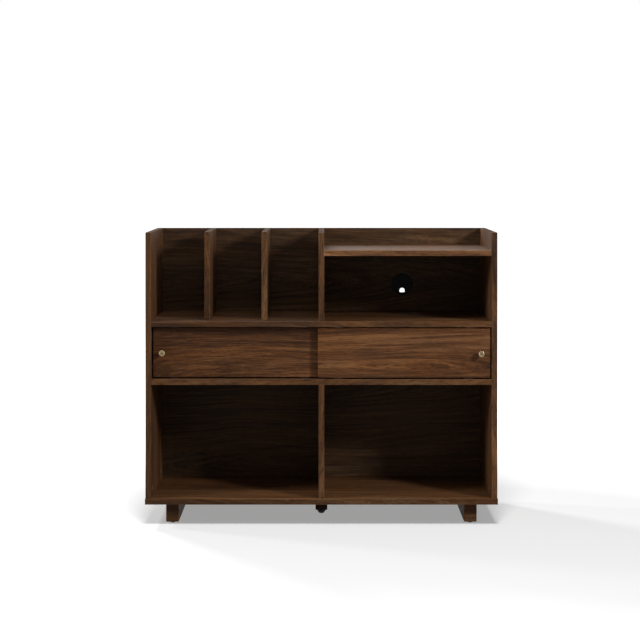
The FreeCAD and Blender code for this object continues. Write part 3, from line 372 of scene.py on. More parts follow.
@dataclass(frozen=True)
class WalnutVeneer:
    """Satin lacquered walnut veneer.

    End faces carry banding whose grain has a direction of its own, and which may be duller than the faces.
    Rounded arrises are rubbed a little smoother, and their colour is lighter, partly wear and partly a
    painted highlight. A glue line shows where the banding of the front edge ends.
    """

    grain: Axis
    band: Axis
    log: Log
    tone: float = 1.0
    warmth: float = 1.0
    contrast: float = 1.0
    roughness: float = 0.58
    seam: float | None = None
    band_tone_and_shade: float = 1.0
    band_dullness: float = 0.0

    LAYERS = {
        "growth": (0.8, 17.0, 2.0, 0.32),
        "figure": (2.1, 100.0, 3.0, 0.28),
        "streak": (6.0, 330.0, 3.0, 0.28),
        "fibre": (42.0, 1300.0, 2.0, 0.12),
    }
    BROWNS = (
        (0.20, (0.026, 0.0090, 0.0032)),
        (0.42, (0.072, 0.0275, 0.0095)),
        (0.57, (0.116, 0.0450, 0.0155)),
        (0.80, (0.205, 0.0900, 0.0340)),
    )
    # Half of the layers' range that the browns spread over, at a contrast of 1.
    HALF_RANGE = 0.115
    # How far the rings sway, in metres, and how often along and across the grain.
    SWAY = (0.05, 0.05, 0.05)
    SWAY_ALONG = 1.6
    SWAY_ACROSS = 6.0
    SWAY_SHIFT = 7.0
    SIDEWAYS = (0.17, 0.23, 0.19)
    END_FACE = 0.7
    # Each of these is a range of a value, and what the range's two ends become.
    ARRIS = (0.985, 0.86, 0.0, 1.0)
    CLOUDS = (0.35, 0.65, 0.0, 1.0)
    PORES = (0.36, 0.47, 0.6, 1.0)
    GLUE = (0.0001, 0.00025, 0.5, 1.0)
    BAND_FADE = 0.0001
    COOL = (0.95, 1.0, 1.08)
    WARM = (1.05, 1.0, 0.90)
    # How much lighter an arris is: partly wear, partly a painted highlight.
    WEAR_AND_HIGHLIGHT_TONE = 2.3
    RUBBED_DULLNESS = -0.2
    STREAK_DULLNESS = 0.05

    def ring_coordinates(self, shader: Shader) -> Socket:
        """Coordinates along the grain, across the growth rings, and a little along each ring.

        Args:
            shader: The material's nodes.

        Returns:
            The coordinates.
        """
        from_heart = shader.vector("SUBTRACT", shader.place, self.log.heart)
        along = shader.parts_of(from_heart)[self.grain.value]
        direction = list(self.log.stray)
        direction[self.grain.value] = 1.0
        across = shader.vector("SUBTRACT", from_heart, shader.vector("SCALE", direction, along))
        slow = [self.SWAY_ACROSS] * 3
        slow[self.grain.value] = self.SWAY_ALONG
        shift = Vector(self.log.heart) * self.SWAY_SHIFT
        wander = shader.noise(slow, 1.0, roughness=0.5, source=from_heart, shift=shift, output="Color")
        swayed = shader.vector("MULTIPLY_ADD", wander, self.SWAY, across)
        rings = shader.vector("LENGTH", swayed)
        return shader.joined(along, rings, shader.vector("DOT_PRODUCT", swayed, self.SIDEWAYS))

    def band_coordinates(self, shader: Shader) -> Socket:
        """Coordinates along the grain of the banding, and twice across it.

        Args:
            shader: The material's nodes.

        Returns:
            The coordinates.
        """
        parts = shader.parts_of(shader.place)
        others = [part for number, part in enumerate(parts) if number != self.band.value]
        return shader.joined(parts[self.band.value], *others)

    def edges(self, shader: Shader) -> tuple[Socket, Socket]:
        """Finds the end faces and the arrises from the way they face.

        Args:
            shader: The material's nodes.

        Returns:
            The share of end face, and the share of arris.
        """
        facing = [shader.math("ABSOLUTE", part) for part in shader.parts_of(shader.facing)]
        banded = shader.math("GREATER_THAN", facing[self.grain.value], self.END_FACE)
        flattest = shader.math("MAXIMUM", shader.math("MAXIMUM", facing[0], facing[1]), facing[2])
        return banded, shader.span(flattest, *self.ARRIS)

    def material(self, name: str) -> bpy.types.Material:
        """Makes the material.

        Args:
            name: The material's name.

        Returns:
            The material.
        """
        shader = Shader(name)
        banded, arris = self.edges(shader)
        where = shader.mixed(banded, self.ring_coordinates(shader), self.band_coordinates(shader))
        layers = {
            layer: shader.noise((along, across, across), detail, roughness=0.6, source=where)
            for layer, (along, across, detail, _) in self.LAYERS.items()
        }
        total = shader.weigh((layers[layer], weight) for layer, (*_, weight) in self.LAYERS.items())
        spread = self.HALF_RANGE / self.contrast
        value = shader.span(total, 0.5 - spread, 0.5 + spread, 0.2, 0.8)
        channels = (self.tone * self.warmth, self.tone, self.tone / self.warmth)
        browns = [
            (stop, tuple(part * share for part, share in zip(colour, channels)))
            for stop, colour in self.BROWNS
        ]
        clouds = shader.noise((5.0, 26.0, 26.0), detail=2.0, source=where, shift=(3.1, 1.7, 2.3))
        tint = shader.mixed(shader.span(clouds, *self.CLOUDS), self.COOL, self.WARM)
        wood = shader.vector("MULTIPLY", shader.ramp(value, browns), tint)
        shade = shader.math("MULTIPLY", shader.span(layers["fibre"], *self.PORES), self.glue_line(shader))
        # Rounded arrises are made lighter: partly wear, partly a painted highlight.
        shade = shader.math("MULTIPLY", shade, shader.span(arris, 0.0, 1.0, 1.0, self.WEAR_AND_HIGHLIGHT_TONE))
        shader.link(shader.vector("SCALE", wood, shade), shader.surface.inputs["Base Color"])
        dull, bright = self.roughness + self.STREAK_DULLNESS, self.roughness - self.STREAK_DULLNESS
        gloss = shader.span(layers["streak"], *NOISE_RANGE, dull, bright)
        worn = shader.weigh([(gloss, 1.0), (banded, self.band_dullness), (arris, self.RUBBED_DULLNESS)])
        shader.link(worn, shader.surface.inputs["Roughness"])
        shader.surface.inputs["Specular IOR Level"].default_value = 0.12
        relief = shader.weigh([(layers["fibre"], 0.7), (layers["streak"], 0.3)])
        shader.bump(relief, distance=0.0002, strength=0.3)
        return shader.material

    def glue_line(self, shader: Shader) -> Socket | float:
        """Gives the banding of the front edge its own tone, which on some boards is painted shade, and draws
        the dark glue line behind it.

        Args:
            shader: The material's nodes.

        Returns:
            The factor of the veneer's colour.
        """
        if self.seam is None:
            return 1.0
        depth = shader.parts_of(shader.place)[Axis.Y.value]
        distance = shader.math("ABSOLUTE", shader.math("SUBTRACT", depth, self.seam))
        line = shader.span(distance, *self.GLUE)
        band = shader.span(depth, self.seam - self.BAND_FADE, self.seam, self.band_tone_and_shade, 1.0)
        return shader.math("MULTIPLY", line, band)


@dataclass(frozen=True)
class Metal:
    """A metal that is brushed or drawn, with faint stains in its gloss."""

    colour: Colour
    roughness: float
    stain: float = 0.12
    brushing: Triple = (2400.0, 2400.0, 2400.0)
    # How dark the middle of a dish gets: a painted dark reflection.
    painted_dish_shade: float = 0.5

    CLEAR_OF_DISH_SHADE = 0.55
    STAIN_DULLNESS = 0.16
    BRUSHED_DULLNESS = 0.12
    # What the stains and the brushing add on average.
    USUAL_DULLNESS = 0.14

    def material(self, name: str, hollow: Vector | None = None, reach: float = 1.0) -> bpy.types.Material:
        """Makes the material.

        Args:
            name: The material's name.
            hollow: A point on the axis, along Y, of a dish whose middle is darkened as a painted dark
                reflection.
            reach: The dish's radius.

        Returns:
            The material.
        """
        shader = Shader(name)
        stains = shader.noise((160.0, 160.0, 160.0), detail=3.0)
        brushed = shader.noise(self.brushing, detail=2.0)
        dull = tuple(channel * (1.0 - 2.0 * self.stain) for channel in self.colour)
        colour = shader.ramp(stains, [(0.35, dull), (0.62, self.colour)])
        # A dish is darker towards its middle: a painted dark reflection.
        if hollow is not None:
            offset = shader.vector("SUBTRACT", shader.place, tuple(hollow))
            distance = shader.vector("LENGTH", shader.vector("MULTIPLY", offset, (1.0, 0.0, 1.0)))
            shade = shader.span(distance, self.CLEAR_OF_DISH_SHADE * reach, reach, self.painted_dish_shade, 1.0)
            colour = shader.vector("SCALE", colour, shade)
        shader.link(colour, shader.surface.inputs["Base Color"])
        gloss = shader.weigh([(stains, self.STAIN_DULLNESS), (brushed, self.BRUSHED_DULLNESS)])
        rough = shader.math("ADD", gloss, self.roughness - self.USUAL_DULLNESS)
        shader.link(rough, shader.surface.inputs["Roughness"])
        shader.surface.inputs["Metallic"].default_value = 1.0
        shader.bump(brushed, distance=0.00004, strength=0.3)
        return shader.material


@dataclass(frozen=True)
class MouldedPlastic:
    """A moulded or extruded plastic with a fine grain and a slight unevenness of colour."""

    colour: Colour
    roughness: float = 0.5
    shine: float = 0.3
    grain: float = 2600.0
    deep_share: float = 0.8
    grain_dullness: float = 0.06

    def material(self, name: str) -> bpy.types.Material:
        """Makes the material.

        Args:
            name: The material's name.

        Returns:
            The material.
        """
        shader = Shader(name)
        clouds = shader.noise((38.0, 38.0, 38.0), detail=2.0)
        grain = shader.noise((self.grain,) * 3, detail=2.0)
        deep = tuple(channel * self.deep_share for channel in self.colour)
        colour = shader.ramp(clouds, list(zip(NOISE_RANGE, (deep, self.colour))))
        shader.link(colour, shader.surface.inputs["Base Color"])
        bright, dull = self.roughness - self.grain_dullness, self.roughness + self.grain_dullness
        shader.link(shader.span(grain, *NOISE_RANGE, bright, dull), shader.surface.inputs["Roughness"])
        shader.surface.inputs["Specular IOR Level"].default_value = self.shine
        shader.bump(grain, distance=0.00006, strength=0.4)
        return shader.material


@dataclass(frozen=True)
class Beech:
    """Plain turned beech with its short dark flecks."""

    pale: Colour = (0.56, 0.38, 0.22)
    fleck: Colour = (0.36, 0.21, 0.11)

    def material(self, name: str) -> bpy.types.Material:
        """Makes the material.

        Args:
            name: The material's name.

        Returns:
            The material.
        """
        shader = Shader(name)
        flecks = shader.noise((120.0, 1400.0, 1400.0), detail=3.0)
        colour = shader.ramp(flecks, [(0.38, self.fleck), (0.5, self.pale)])
        shader.link(colour, shader.surface.inputs["Base Color"])
        shader.link(shader.span(flecks, *NOISE_RANGE, 0.6, 0.75), shader.surface.inputs["Roughness"])
        shader.bump(flecks, distance=0.0001, strength=0.3)
        return shader.material


# ---------------------------------------- making meshes


class Workshop:
    """Calls that several sub-assemblies share for meshes and for putting a finish on a piece."""

    SAME_LEVEL = 0.01 * MM
    SMOOTH_BELOW = 32
    ROUNDING_FACES = 3

    @staticmethod
    def dress(node: str, material: bpy.types.Material) -> None:
        """Puts a material on a CAD node.

        Args:
            node: The node's name.
            material: Its new material.
        """
        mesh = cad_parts[node].data
        mesh.materials.clear()
        mesh.materials.append(material)
        LOG.info("%s: %s", node, material.name)

    @staticmethod
    def lathe(profile: list[tuple[float, float]], segments: int) -> bmesh.types.BMesh:
        """Turns an open outline, whose two ends lie on the axis, about Z.

        Args:
            profile: Pairs of a radius and a height, in metres.
            segments: The number of steps round the axis.

        Returns:
            The closed mesh.
        """
        shape = bmesh.new()
        corners = [shape.verts.new((radius, 0.0, height)) for radius, height in profile]
        edges = [shape.edges.new(pair) for pair in zip(corners, corners[1:])]
        bmesh.ops.spin(
            shape,
            geom=corners + edges,
            cent=ORIGIN,
            axis=UP,
            angle=math.tau,
            steps=segments,
            use_merge=True,
        )
        bmesh.ops.remove_doubles(shape, verts=shape.verts, dist=1e-7)
        bmesh.ops.recalc_face_normals(shape, faces=shape.faces)
        return shape

    @staticmethod
    def soften(shape: bmesh.types.BMesh, radius: float, angle: float) -> None:
        """Rounds the edges that turn by more than an angle.

        Args:
            shape: The mesh.
            radius: How far the rounding reaches.
            angle: The least turn of an edge, in degrees.
        """
        least = math.radians(angle)
        sharp = [edge for edge in shape.edges if edge.is_manifold and edge.calc_face_angle() > least]
        bmesh.ops.bevel(
            shape,
            geom=sharp,
            offset=radius,
            offset_type="OFFSET",
            affect="EDGES",
            segments=Workshop.ROUNDING_FACES,
            profile=0.5,
            material=-1,
            clamp_overlap=True,
        )

    @staticmethod
    def finish(shape: bmesh.types.BMesh, name: str, material: bpy.types.Material) -> bpy.types.Object:
        """Turns a mesh into an object of the scene.

        Args:
            shape: The mesh in its final place; it is freed.
            name: The object's name.
            material: The object's material.

        Returns:
            The object.
        """
        mesh = bpy.data.meshes.new(name)
        shape.to_mesh(mesh)
        shape.free()
        mesh.materials.append(material)
        mesh.shade_smooth()
        mesh.set_sharp_from_angle(angle=math.radians(Workshop.SMOOTH_BELOW))
        piece = bpy.data.objects.new(name, mesh)
        bpy.context.scene.collection.objects.link(piece)
        return piece

    @staticmethod
    def solids(node: str) -> list[list[Vector]]:
        """The corners of each separate solid of a CAD node.

        Args:
            node: The node's name.

        Returns:
            A list of corners for each solid.
        """
        shape = bmesh.new()
        shape.from_mesh(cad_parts[node].data)
        bmesh.ops.remove_doubles(shape, verts=shape.verts, dist=1e-6)
        found = []
        waiting = set(shape.verts)
        while waiting:
            reached = [waiting.pop()]
            for corner in reached:
                neighbours = {edge.other_vert(corner) for edge in corner.link_edges} & waiting
                waiting -= neighbours
                reached.extend(neighbours)
            found.append([corner.co.copy() for corner in reached])
        shape.free()
        return found

    @staticmethod
    def screw_places(node: str) -> list[Matrix]:
        """Where the screws of a CAD node sit.

        Args:
            node: The node's name.

        Returns:
            For each screw, the turn and move of one that stands on its head at the origin.
        """
        places = []
        for corners in Workshop.solids(node):
            low = Vector([min(corner[axis] for corner in corners) for axis in range(3)])
            high = Vector([max(corner[axis] for corner in corners) for axis in range(3)])
            size = high - low
            axis = max(range(3), key=lambda number: size[number])
            middle = (low + high) / 2
            widths = []
            for end in (low, high):
                rim = [corner for corner in corners if abs(corner[axis] - end[axis]) < Workshop.SAME_LEVEL]
                widths.append(max((corner - middle).length for corner in rim))
            sign = 1.0 if widths[0] > widths[1] else -1.0
            middle[axis] = low[axis] if sign > 0 else high[axis]
            direction = Vector()
            direction[axis] = sign
            places.append(Matrix.Translation(middle) @ direction.to_track_quat("Z", "Y").to_matrix().to_4x4())
        return sorted(places, key=lambda place: tuple(place.translation))

    @staticmethod
    def extend(shape: bmesh.types.BMesh, loop: list[bmesh.types.BMEdge], scale: float, rise: float) -> list:
        """Carries an open loop of edges on, wider or narrower, along Z.

        Args:
            shape: The mesh.
            loop: The loop's edges, about the Z axis.
            scale: How much wider the new loop is.
            rise: How far it lies from the old one.

        Returns:
            The new loop's edges.
        """
        made = bmesh.ops.extrude_edge_only(shape, edges=loop)["geom"]
        corners = [part for part in made if isinstance(part, bmesh.types.BMVert)]
        bmesh.ops.scale(shape, vec=(scale, scale, 1.0), verts=corners)
        bmesh.ops.translate(shape, vec=(0.0, 0.0, rise), verts=corners)
        fresh = set(corners)
        return [
            part
            for part in made
            if isinstance(part, bmesh.types.BMEdge) and part.verts[0] in fresh and part.verts[1] in fresh
        ]


@dataclass(frozen=True)
class Screw:
    """A screw with a recess in its head.

    Its outline is a list of (radius, distance from the top of the head), from the crown to the tip. It and
    the recess are in millimetres. The arm is half the width of a cross recess, and the taper the width of a
    recess's floor, as shares of the recess.
    """

    outline: tuple[tuple[float, float], ...]
    drive: Drive
    recess_radius: float
    recess_depth: float
    segments: int = 48
    arm: float = 0.2
    taper: float = 0.82

    def recess_loop(self, shape: bmesh.types.BMesh) -> list[bmesh.types.BMEdge]:
        """Draws the outline of the recess in the top of the head.

        Args:
            shape: The mesh.

        Returns:
            The outline's edges, as many as the head has segments.
        """
        reach = self.recess_radius * MM
        if self.drive is Drive.HEX:
            corners = bmesh.ops.create_circle(shape, segments=6, radius=reach)["verts"]
            loop = list({edge for corner in corners for edge in corner.link_edges})
        else:
            half = self.arm * reach
            quarter = (Vector((half, -reach, 0.0)), Vector((half, -half, 0.0)), Vector((reach, -half, 0.0)))
            turns = [Matrix.Rotation(math.radians(90.0 * number), 3, "Z") for number in range(4)]
            corners = [shape.verts.new(turn @ corner) for turn in turns for corner in quarter]
            loop = [shape.edges.new(pair) for pair in zip(corners, corners[1:] + corners[:1])]
        cuts = self.segments // len(loop) - 1
        bmesh.ops.subdivide_edges(shape, edges=loop, cuts=cuts)
        return list(shape.edges)

    def shape(self) -> bmesh.types.BMesh:
        """Builds the screw, standing on its head at the origin.

        Returns:
            The closed mesh.
        """
        shape = bmesh.new()
        recess = self.recess_loop(shape)
        outline = [(radius * MM, height * MM) for radius, height in self.outline]
        radius, height = outline[0]
        rim_corners = bmesh.ops.create_circle(shape, segments=self.segments, radius=radius)["verts"]
        bmesh.ops.translate(shape, vec=(0.0, 0.0, height), verts=rim_corners)
        loop = list({edge for corner in rim_corners for edge in corner.link_edges})
        bmesh.ops.bridge_loops(shape, edges=recess + loop)
        floor = Workshop.extend(shape, recess, self.taper, self.recess_depth * MM)
        bmesh.ops.edgeloop_fill(shape, edges=floor)
        for next_radius, next_height in outline[1:]:
            loop = Workshop.extend(shape, loop, next_radius / radius, next_height - height)
            radius, height = next_radius, next_height
        bmesh.ops.edgeloop_fill(shape, edges=loop)
        bmesh.ops.recalc_face_normals(shape, faces=shape.faces)
        return shape

    def replace(self, node: str, body: str, slot: str, material: bpy.types.Material) -> bpy.types.Object:
        """Puts a copy of the screw in each place that a CAD node has one.

        Args:
            node: The node, which the copies stand for.
            body: The body that they ride on.
            slot: Not used.
            material: Their finish.

        Returns:
            The copies as one object.
        """
        single = bpy.data.meshes.new(f"single_{node}")
        master = self.shape()
        master.to_mesh(single)
        master.free()
        shape = bmesh.new()
        places = Workshop.screw_places(node)
        for place in places:
            before = len(shape.verts)
            shape.from_mesh(single)
            shape.verts.ensure_lookup_table()
            bmesh.ops.transform(shape, matrix=place, verts=shape.verts[before:])
        bpy.data.meshes.remove(single)
        piece = Workshop.finish(shape, f"{node}_with_drive", material)
        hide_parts(node)
        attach(piece, body)
        LOG.info("%s: %d screws", piece.name, len(places))
        return piece


def threaded_rod(radius: float, length: float, pitch: float, steps: int = 24) -> bmesh.types.BMesh:
    """A rod with a thread, standing at the origin.

    Args:
        radius: The thread's outer radius.
        length: The rod's length.
        pitch: The rise of one turn.
        steps: The steps of one turn.

    Returns:
        The closed mesh.
    """
    shape = bmesh.new()
    core = radius - THREAD_DEPTH * pitch
    start, crest, end = (share * pitch for share in THREAD_FLANKS)
    outline = [(core, 0.0), (core, start), (radius, crest), (radius, end), (core, pitch)]
    corners = [shape.verts.new((reach, 0.0, height - pitch)) for reach, height in outline]
    edges = [shape.edges.new(pair) for pair in zip(corners, corners[1:])]
    turns = math.ceil(length / pitch) + 2
    bmesh.ops.spin(
        shape,
        geom=corners + edges,
        cent=ORIGIN,
        axis=UP,
        dvec=(0.0, 0.0, pitch / steps),
        angle=math.tau * turns,
        steps=steps * turns,
        use_merge=False,
    )
    bmesh.ops.remove_doubles(shape, verts=shape.verts, dist=1e-6)
    for height, normal in ((0.0, -1.0), (length, 1.0)):
        cut = bmesh.ops.bisect_plane(
            shape,
            geom=list(shape.verts) + list(shape.edges) + list(shape.faces),
            plane_co=(0.0, 0.0, height),
            plane_no=(0.0, 0.0, normal),
            clear_outer=True,
        )["geom_cut"]
        bmesh.ops.edgeloop_fill(shape, edges=[part for part in cut if isinstance(part, bmesh.types.BMEdge)])
    bmesh.ops.recalc_face_normals(shape, faces=shape.faces)
    return shape


# ---------------------------------------- sub-assemblies


@dataclass
class Carcass:
    """The boards of the cabinet and the thin sheets behind the lower bays.

    Each board has a tone, and how much lighter or darker the banding of its front edge is. Some of these are
    painted light and shade: the bottom panel's lighter tone is painted light on its top and its dark front
    banding is painted shade, and the left side panel and its front edge are darker than the right's as
    painted shade.
    The grain of a board that is narrower than upright_below stands upright.
    """

    banding: float = 0.9 * MM
    band_dullness: float = 0.4
    warmth: float = 0.88
    back_warmth: float = 0.78
    upright_below: float = 0.05
    tones: dict[str, tuple[float, float]] = field(
        default_factory=lambda: {
            # Lighter tone: painted light on the top. Much darker front banding: painted shade.
            "bottom_panel": (1.25, 0.52),
            # Darker than the right side panel, its front edge more so: painted shade.
            "left_side_panel": (0.98, 0.66),
            "right_side_panel": (1.06, 1.02),
            "lower_shelf": (1.05, 1.0),
            "mid_shelf": (1.0, 1.0),
            "tray_shelf": (1.2, 1.7),
            "lower_divider": (1.0, 0.94),
            "door_bay_divider": (0.9, 1.0),
            "upper_divider": (1.0, 1.0),
            "bin_divider_left": (0.88, 1.0),
            "bin_divider_right": (0.88, 1.0),
            "upper_back_panel": (0.8, 1.0),
            "lower_back_sheet_left": (0.76, 1.0),
            "lower_back_sheet_right": (0.76, 1.0),
        }
    )

    def build(self) -> None:
        """Puts veneer on every board, each from a log of its own."""
        for sample, (node, (tone, band_tone_and_shade)) in enumerate(self.tones.items(), start=1):
            low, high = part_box(node)
            grain = Axis.Z if high.x - low.x < self.upright_below else Axis.X
            finish = WalnutVeneer(
                grain,
                Axis.Y,
                Log.under(node, grain, sample),
                tone=tone,
                warmth=self.back_warmth if "back" in node else self.warmth,
                seam=low.y + self.banding,
                band_tone_and_shade=band_tone_and_shade,
                band_dullness=self.band_dullness,
            )
            Workshop.dress(node, finish.material(f"walnut_{node}"))


@dataclass
class SlidingDoors:
    """The two doors with their knobs, shoes, tracks and bumpers.

    The arches of the front door's veneer open slowly to the right about its middle, and those of the rear
    door rise from its lower edge and level out. A knob's foot, stem and dish are shares of its own width.
    """

    tones: dict[str, float] = field(default_factory=lambda: {"front_door": 0.97, "rear_door": 0.93})
    contrast: float = 1.3
    front_heart_beyond: float = 0.22
    front_stray: float = 0.05
    rear_stray: float = 0.17
    knob_segments: int = 72
    knob_foot: float = 0.647
    knob_stem: float = 0.47
    knob_dish: float = 0.78
    knob_hollow: float = 1.2 * MM
    knob_head: float = 10.5 * MM
    knob_rounding: float = 0.45 * MM
    brass: Metal = Metal((0.30, 0.222, 0.128), 0.22, 0.1, (5200.0, 900.0, 5200.0))
    acetal: MouldedPlastic = MouldedPlastic((0.02, 0.015, 0.012), 0.42)
    extrusion: MouldedPlastic = MouldedPlastic((0.022, 0.014, 0.01), 0.45)
    rubber: MouldedPlastic = MouldedPlastic((0.03, 0.02, 0.014), 0.6)
    steel: Metal = Metal((0.5, 0.5, 0.49), 0.32)
    shoe_screw: Screw = Screw(((2.9, 0.0), (1.5, 1.45), (1.5, 9.5), (0.3, 11.9)), Drive.CROSS, 1.5, 1.2)
    knob_screw: Screw = Screw(((3.9, 0.0), (2.0, 2.1), (2.0, 23.6), (1.6, 24.0)), Drive.CROSS, 2.1, 1.6)

    def logs(self) -> dict[str, Log]:
        """Places the logs of the two doors' veneers.

        Returns:
            The log for each door's name.
        """
        front_low, front_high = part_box("front_door")
        rear_low, rear_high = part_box("rear_door")
        beyond = front_high.x + self.front_heart_beyond
        level = 0.5 * front_low.z + 0.5 * front_high.z
        return {
            "front_door": Log((beyond, front_low.y, level), (0.0, -self.front_stray, 0.0)),
            "rear_door": Log((rear_high.x, rear_low.y, rear_low.z), (0.0, -self.rear_stray, 0.0)),
        }

    def knob(self, door: str) -> bpy.types.Object:
        """Turns one knob, with a foot, a waisted stem, a flared head and a shallow dish.

        Args:
            door: The door's name, which is also its body's.

        Returns:
            The knob, riding on its door.
        """
        low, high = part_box(f"{door}_knob")
        radius = (high.x - low.x) / 2
        reach = high.y - low.y
        foot, stem, dish = (share * radius for share in (self.knob_foot, self.knob_stem, self.knob_dish))
        head = reach - self.knob_head
        rings = (1.0, 0.86, 0.7, 0.52, 0.34, 0.17)
        profile = [
            (0.0, 0.0),
            (foot, 0.0),
            (foot, 1.2 * MM),
            (stem * 1.08, 2.0 * MM),
            (stem * 0.94, 4.6 * MM),
            (stem, 7.0 * MM),
            (radius * 0.72, head - 1.4 * MM),
            (radius * 0.95, head + 0.6 * MM),
            (radius, head + 2.0 * MM),
            (radius, reach),
            *((dish * ring, reach - self.knob_hollow * (1.0 - ring**2)) for ring in rings),
            (0.0, reach - self.knob_hollow),
        ]
        shape = Workshop.lathe(profile, self.knob_segments)
        Workshop.soften(shape, self.knob_rounding, angle=40.0)
        turn = Matrix.Rotation(math.radians(90.0), 4, "X")
        centre = Vector(((low.x + high.x) / 2, high.y, (low.z + high.z) / 2))
        bmesh.ops.transform(shape, matrix=Matrix.Translation(centre) @ turn, verts=shape.verts)
        brass = self.brass.material(f"brass_{door}_knob", centre, dish)
        piece = Workshop.finish(shape, f"{door}_turned_knob", brass)
        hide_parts(f"{door}_knob")
        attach(piece, door)
        LOG.info("%s: %d segments", piece.name, self.knob_segments)
        return piece

    def build(self) -> None:
        """Dresses both doors and what they run on."""
        acetal = self.acetal.material("slide_plastic")
        extrusion = self.extrusion.material("track_plastic")
        steel = self.steel.material("plated_door_screw")
        logs = self.logs()
        for door, tone in self.tones.items():
            finish = WalnutVeneer(Axis.X, Axis.Z, logs[door], tone=tone, contrast=self.contrast)
            Workshop.dress(door, finish.material(f"walnut_{door}"))
            self.knob(door)
            for part in ("glides", "guides"):
                Workshop.dress(f"{door}_{part}", acetal)
            self.shoe_screw.replace(f"{door}_shoe_screws", door, "steel", steel)
            self.knob_screw.replace(f"{door}_knob_screw", door, "steel", steel)
        for place in ("front_lower", "rear_lower", "front_upper", "rear_upper"):
            Workshop.dress(f"{place}_track", extrusion)
        Workshop.dress("door_bumpers", self.rubber.material("bumper_rubber"))


@dataclass
class Base:
    """The two sled runners with their feet, and the centre leg with its levelling foot."""

    tones: dict[str, float] = field(
        # The left runner's lower tone than the right one's is painted shade.
        default_factory=lambda: {"left_runner": 0.95, "right_runner": 1.05, "centre_leg": 0.6}
    )
    first_sample: int = 41
    warmth: float = 0.88
    contrast: float = 0.8
    pitch: float = 1.25 * MM
    foot: MouldedPlastic = MouldedPlastic((0.03, 0.022, 0.017), 0.5)
    pad: MouldedPlastic = MouldedPlastic((0.014, 0.014, 0.015), 0.45)
    steel: Metal = Metal((0.5, 0.5, 0.49), 0.34)
    screw: Screw = Screw(
        ((3.4, 0.0), (4.2, 0.5), (4.5, 1.4), (4.5, 3.0), (2.5, 3.0), (2.5, 46.0), (0.4, 49.9)),
        Drive.CROSS,
        2.4,
        1.8,
    )

    def stem(self, material: bpy.types.Material) -> bpy.types.Object:
        """Cuts the thread of the levelling foot's stem.

        Args:
            material: The stem's finish.

        Returns:
            The stem, riding on the levelling foot.
        """
        low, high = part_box("leveller_stem")
        shape = threaded_rod((high.x - low.x) / 2, high.z - low.z, self.pitch)
        bmesh.ops.translate(shape, vec=(0.0, 0.0, low.z), verts=shape.verts)
        piece = Workshop.finish(shape, "leveller_threaded_stem", material)
        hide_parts("leveller_stem")
        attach(piece, "levelling_foot")
        LOG.info("%s: pitch %.2f mm", piece.name, self.pitch / MM)
        return piece

    def build(self) -> None:
        """Dresses the base."""
        for sample, (node, tone) in enumerate(self.tones.items(), start=self.first_sample):
            grain = Axis.Z if node == "centre_leg" else Axis.Y
            log = Log.under(node, grain, sample)
            finish = WalnutVeneer(grain, Axis.X, log, tone=tone, warmth=self.warmth, contrast=self.contrast)
            Workshop.dress(node, finish.material(f"walnut_{node}"))
        steel = self.steel.material("plated_steel")
        for node in ("centre_leg_stud", "leveller_insert"):
            Workshop.dress(node, steel)
        self.stem(steel)
        self.screw.replace("runner_screws", "cabinet", "steel", steel)
        Workshop.dress("runner_feet", self.foot.material("foot_plastic"))
        Workshop.dress("leveller_pad", self.pad.material("pad_plastic"))


@dataclass
class Fittings:
    """The knock-down fittings of the carcass."""

    zinc: Metal = Metal((0.46, 0.46, 0.45), 0.42)
    steel: Metal = Metal((0.5, 0.5, 0.49), 0.34)
    bronzed: Metal = Metal((0.075, 0.068, 0.06), 0.4)
    divider_screw: Screw = Screw(
        ((4.8, 0.0), (3.5, 2.4), (3.5, 15.5), (3.1, 15.8), (3.1, 46.0), (1.2, 49.9)),
        Drive.HEX,
        2.3,
        1.9,
    )
    sheet_screw: Screw = Screw(
        ((2.4, 0.0), (3.1, 0.5), (3.5, 1.3), (3.5, 2.2), (1.7, 2.2), (1.7, 15.6), (0.3, 18.1)),
        Drive.CROSS,
        1.8,
        1.3,
    )

    def build(self) -> None:
        """Dresses the cams, bolts and dowels, and makes the screws."""
        Workshop.dress("cam_locks", self.zinc.material("cast_zinc"))
        Workshop.dress("cam_bolts", self.steel.material("plated_bolt"))
        Workshop.dress("dowels", Beech().material("beech_dowel"))
        bronzed = self.bronzed.material("bronzed_screw")
        self.divider_screw.replace("divider_screws", "cabinet", "dark_steel", bronzed)
        self.sheet_screw.replace("back_sheet_screws", "cabinet", "dark_steel", bronzed)


@dataclass
class CableOutlet:
    """The grommet in the back and its turning cover."""

    plastic: MouldedPlastic = MouldedPlastic((0.008, 0.0075, 0.0075), 0.6, 0.1)

    def build(self) -> None:
        """Dresses the liner and the cover."""
        black = self.plastic.material("black_plastic")
        for node in ("cable_grommet", "grommet_cap"):
            Workshop.dress(node, black)


# ---------------------------------------- studio


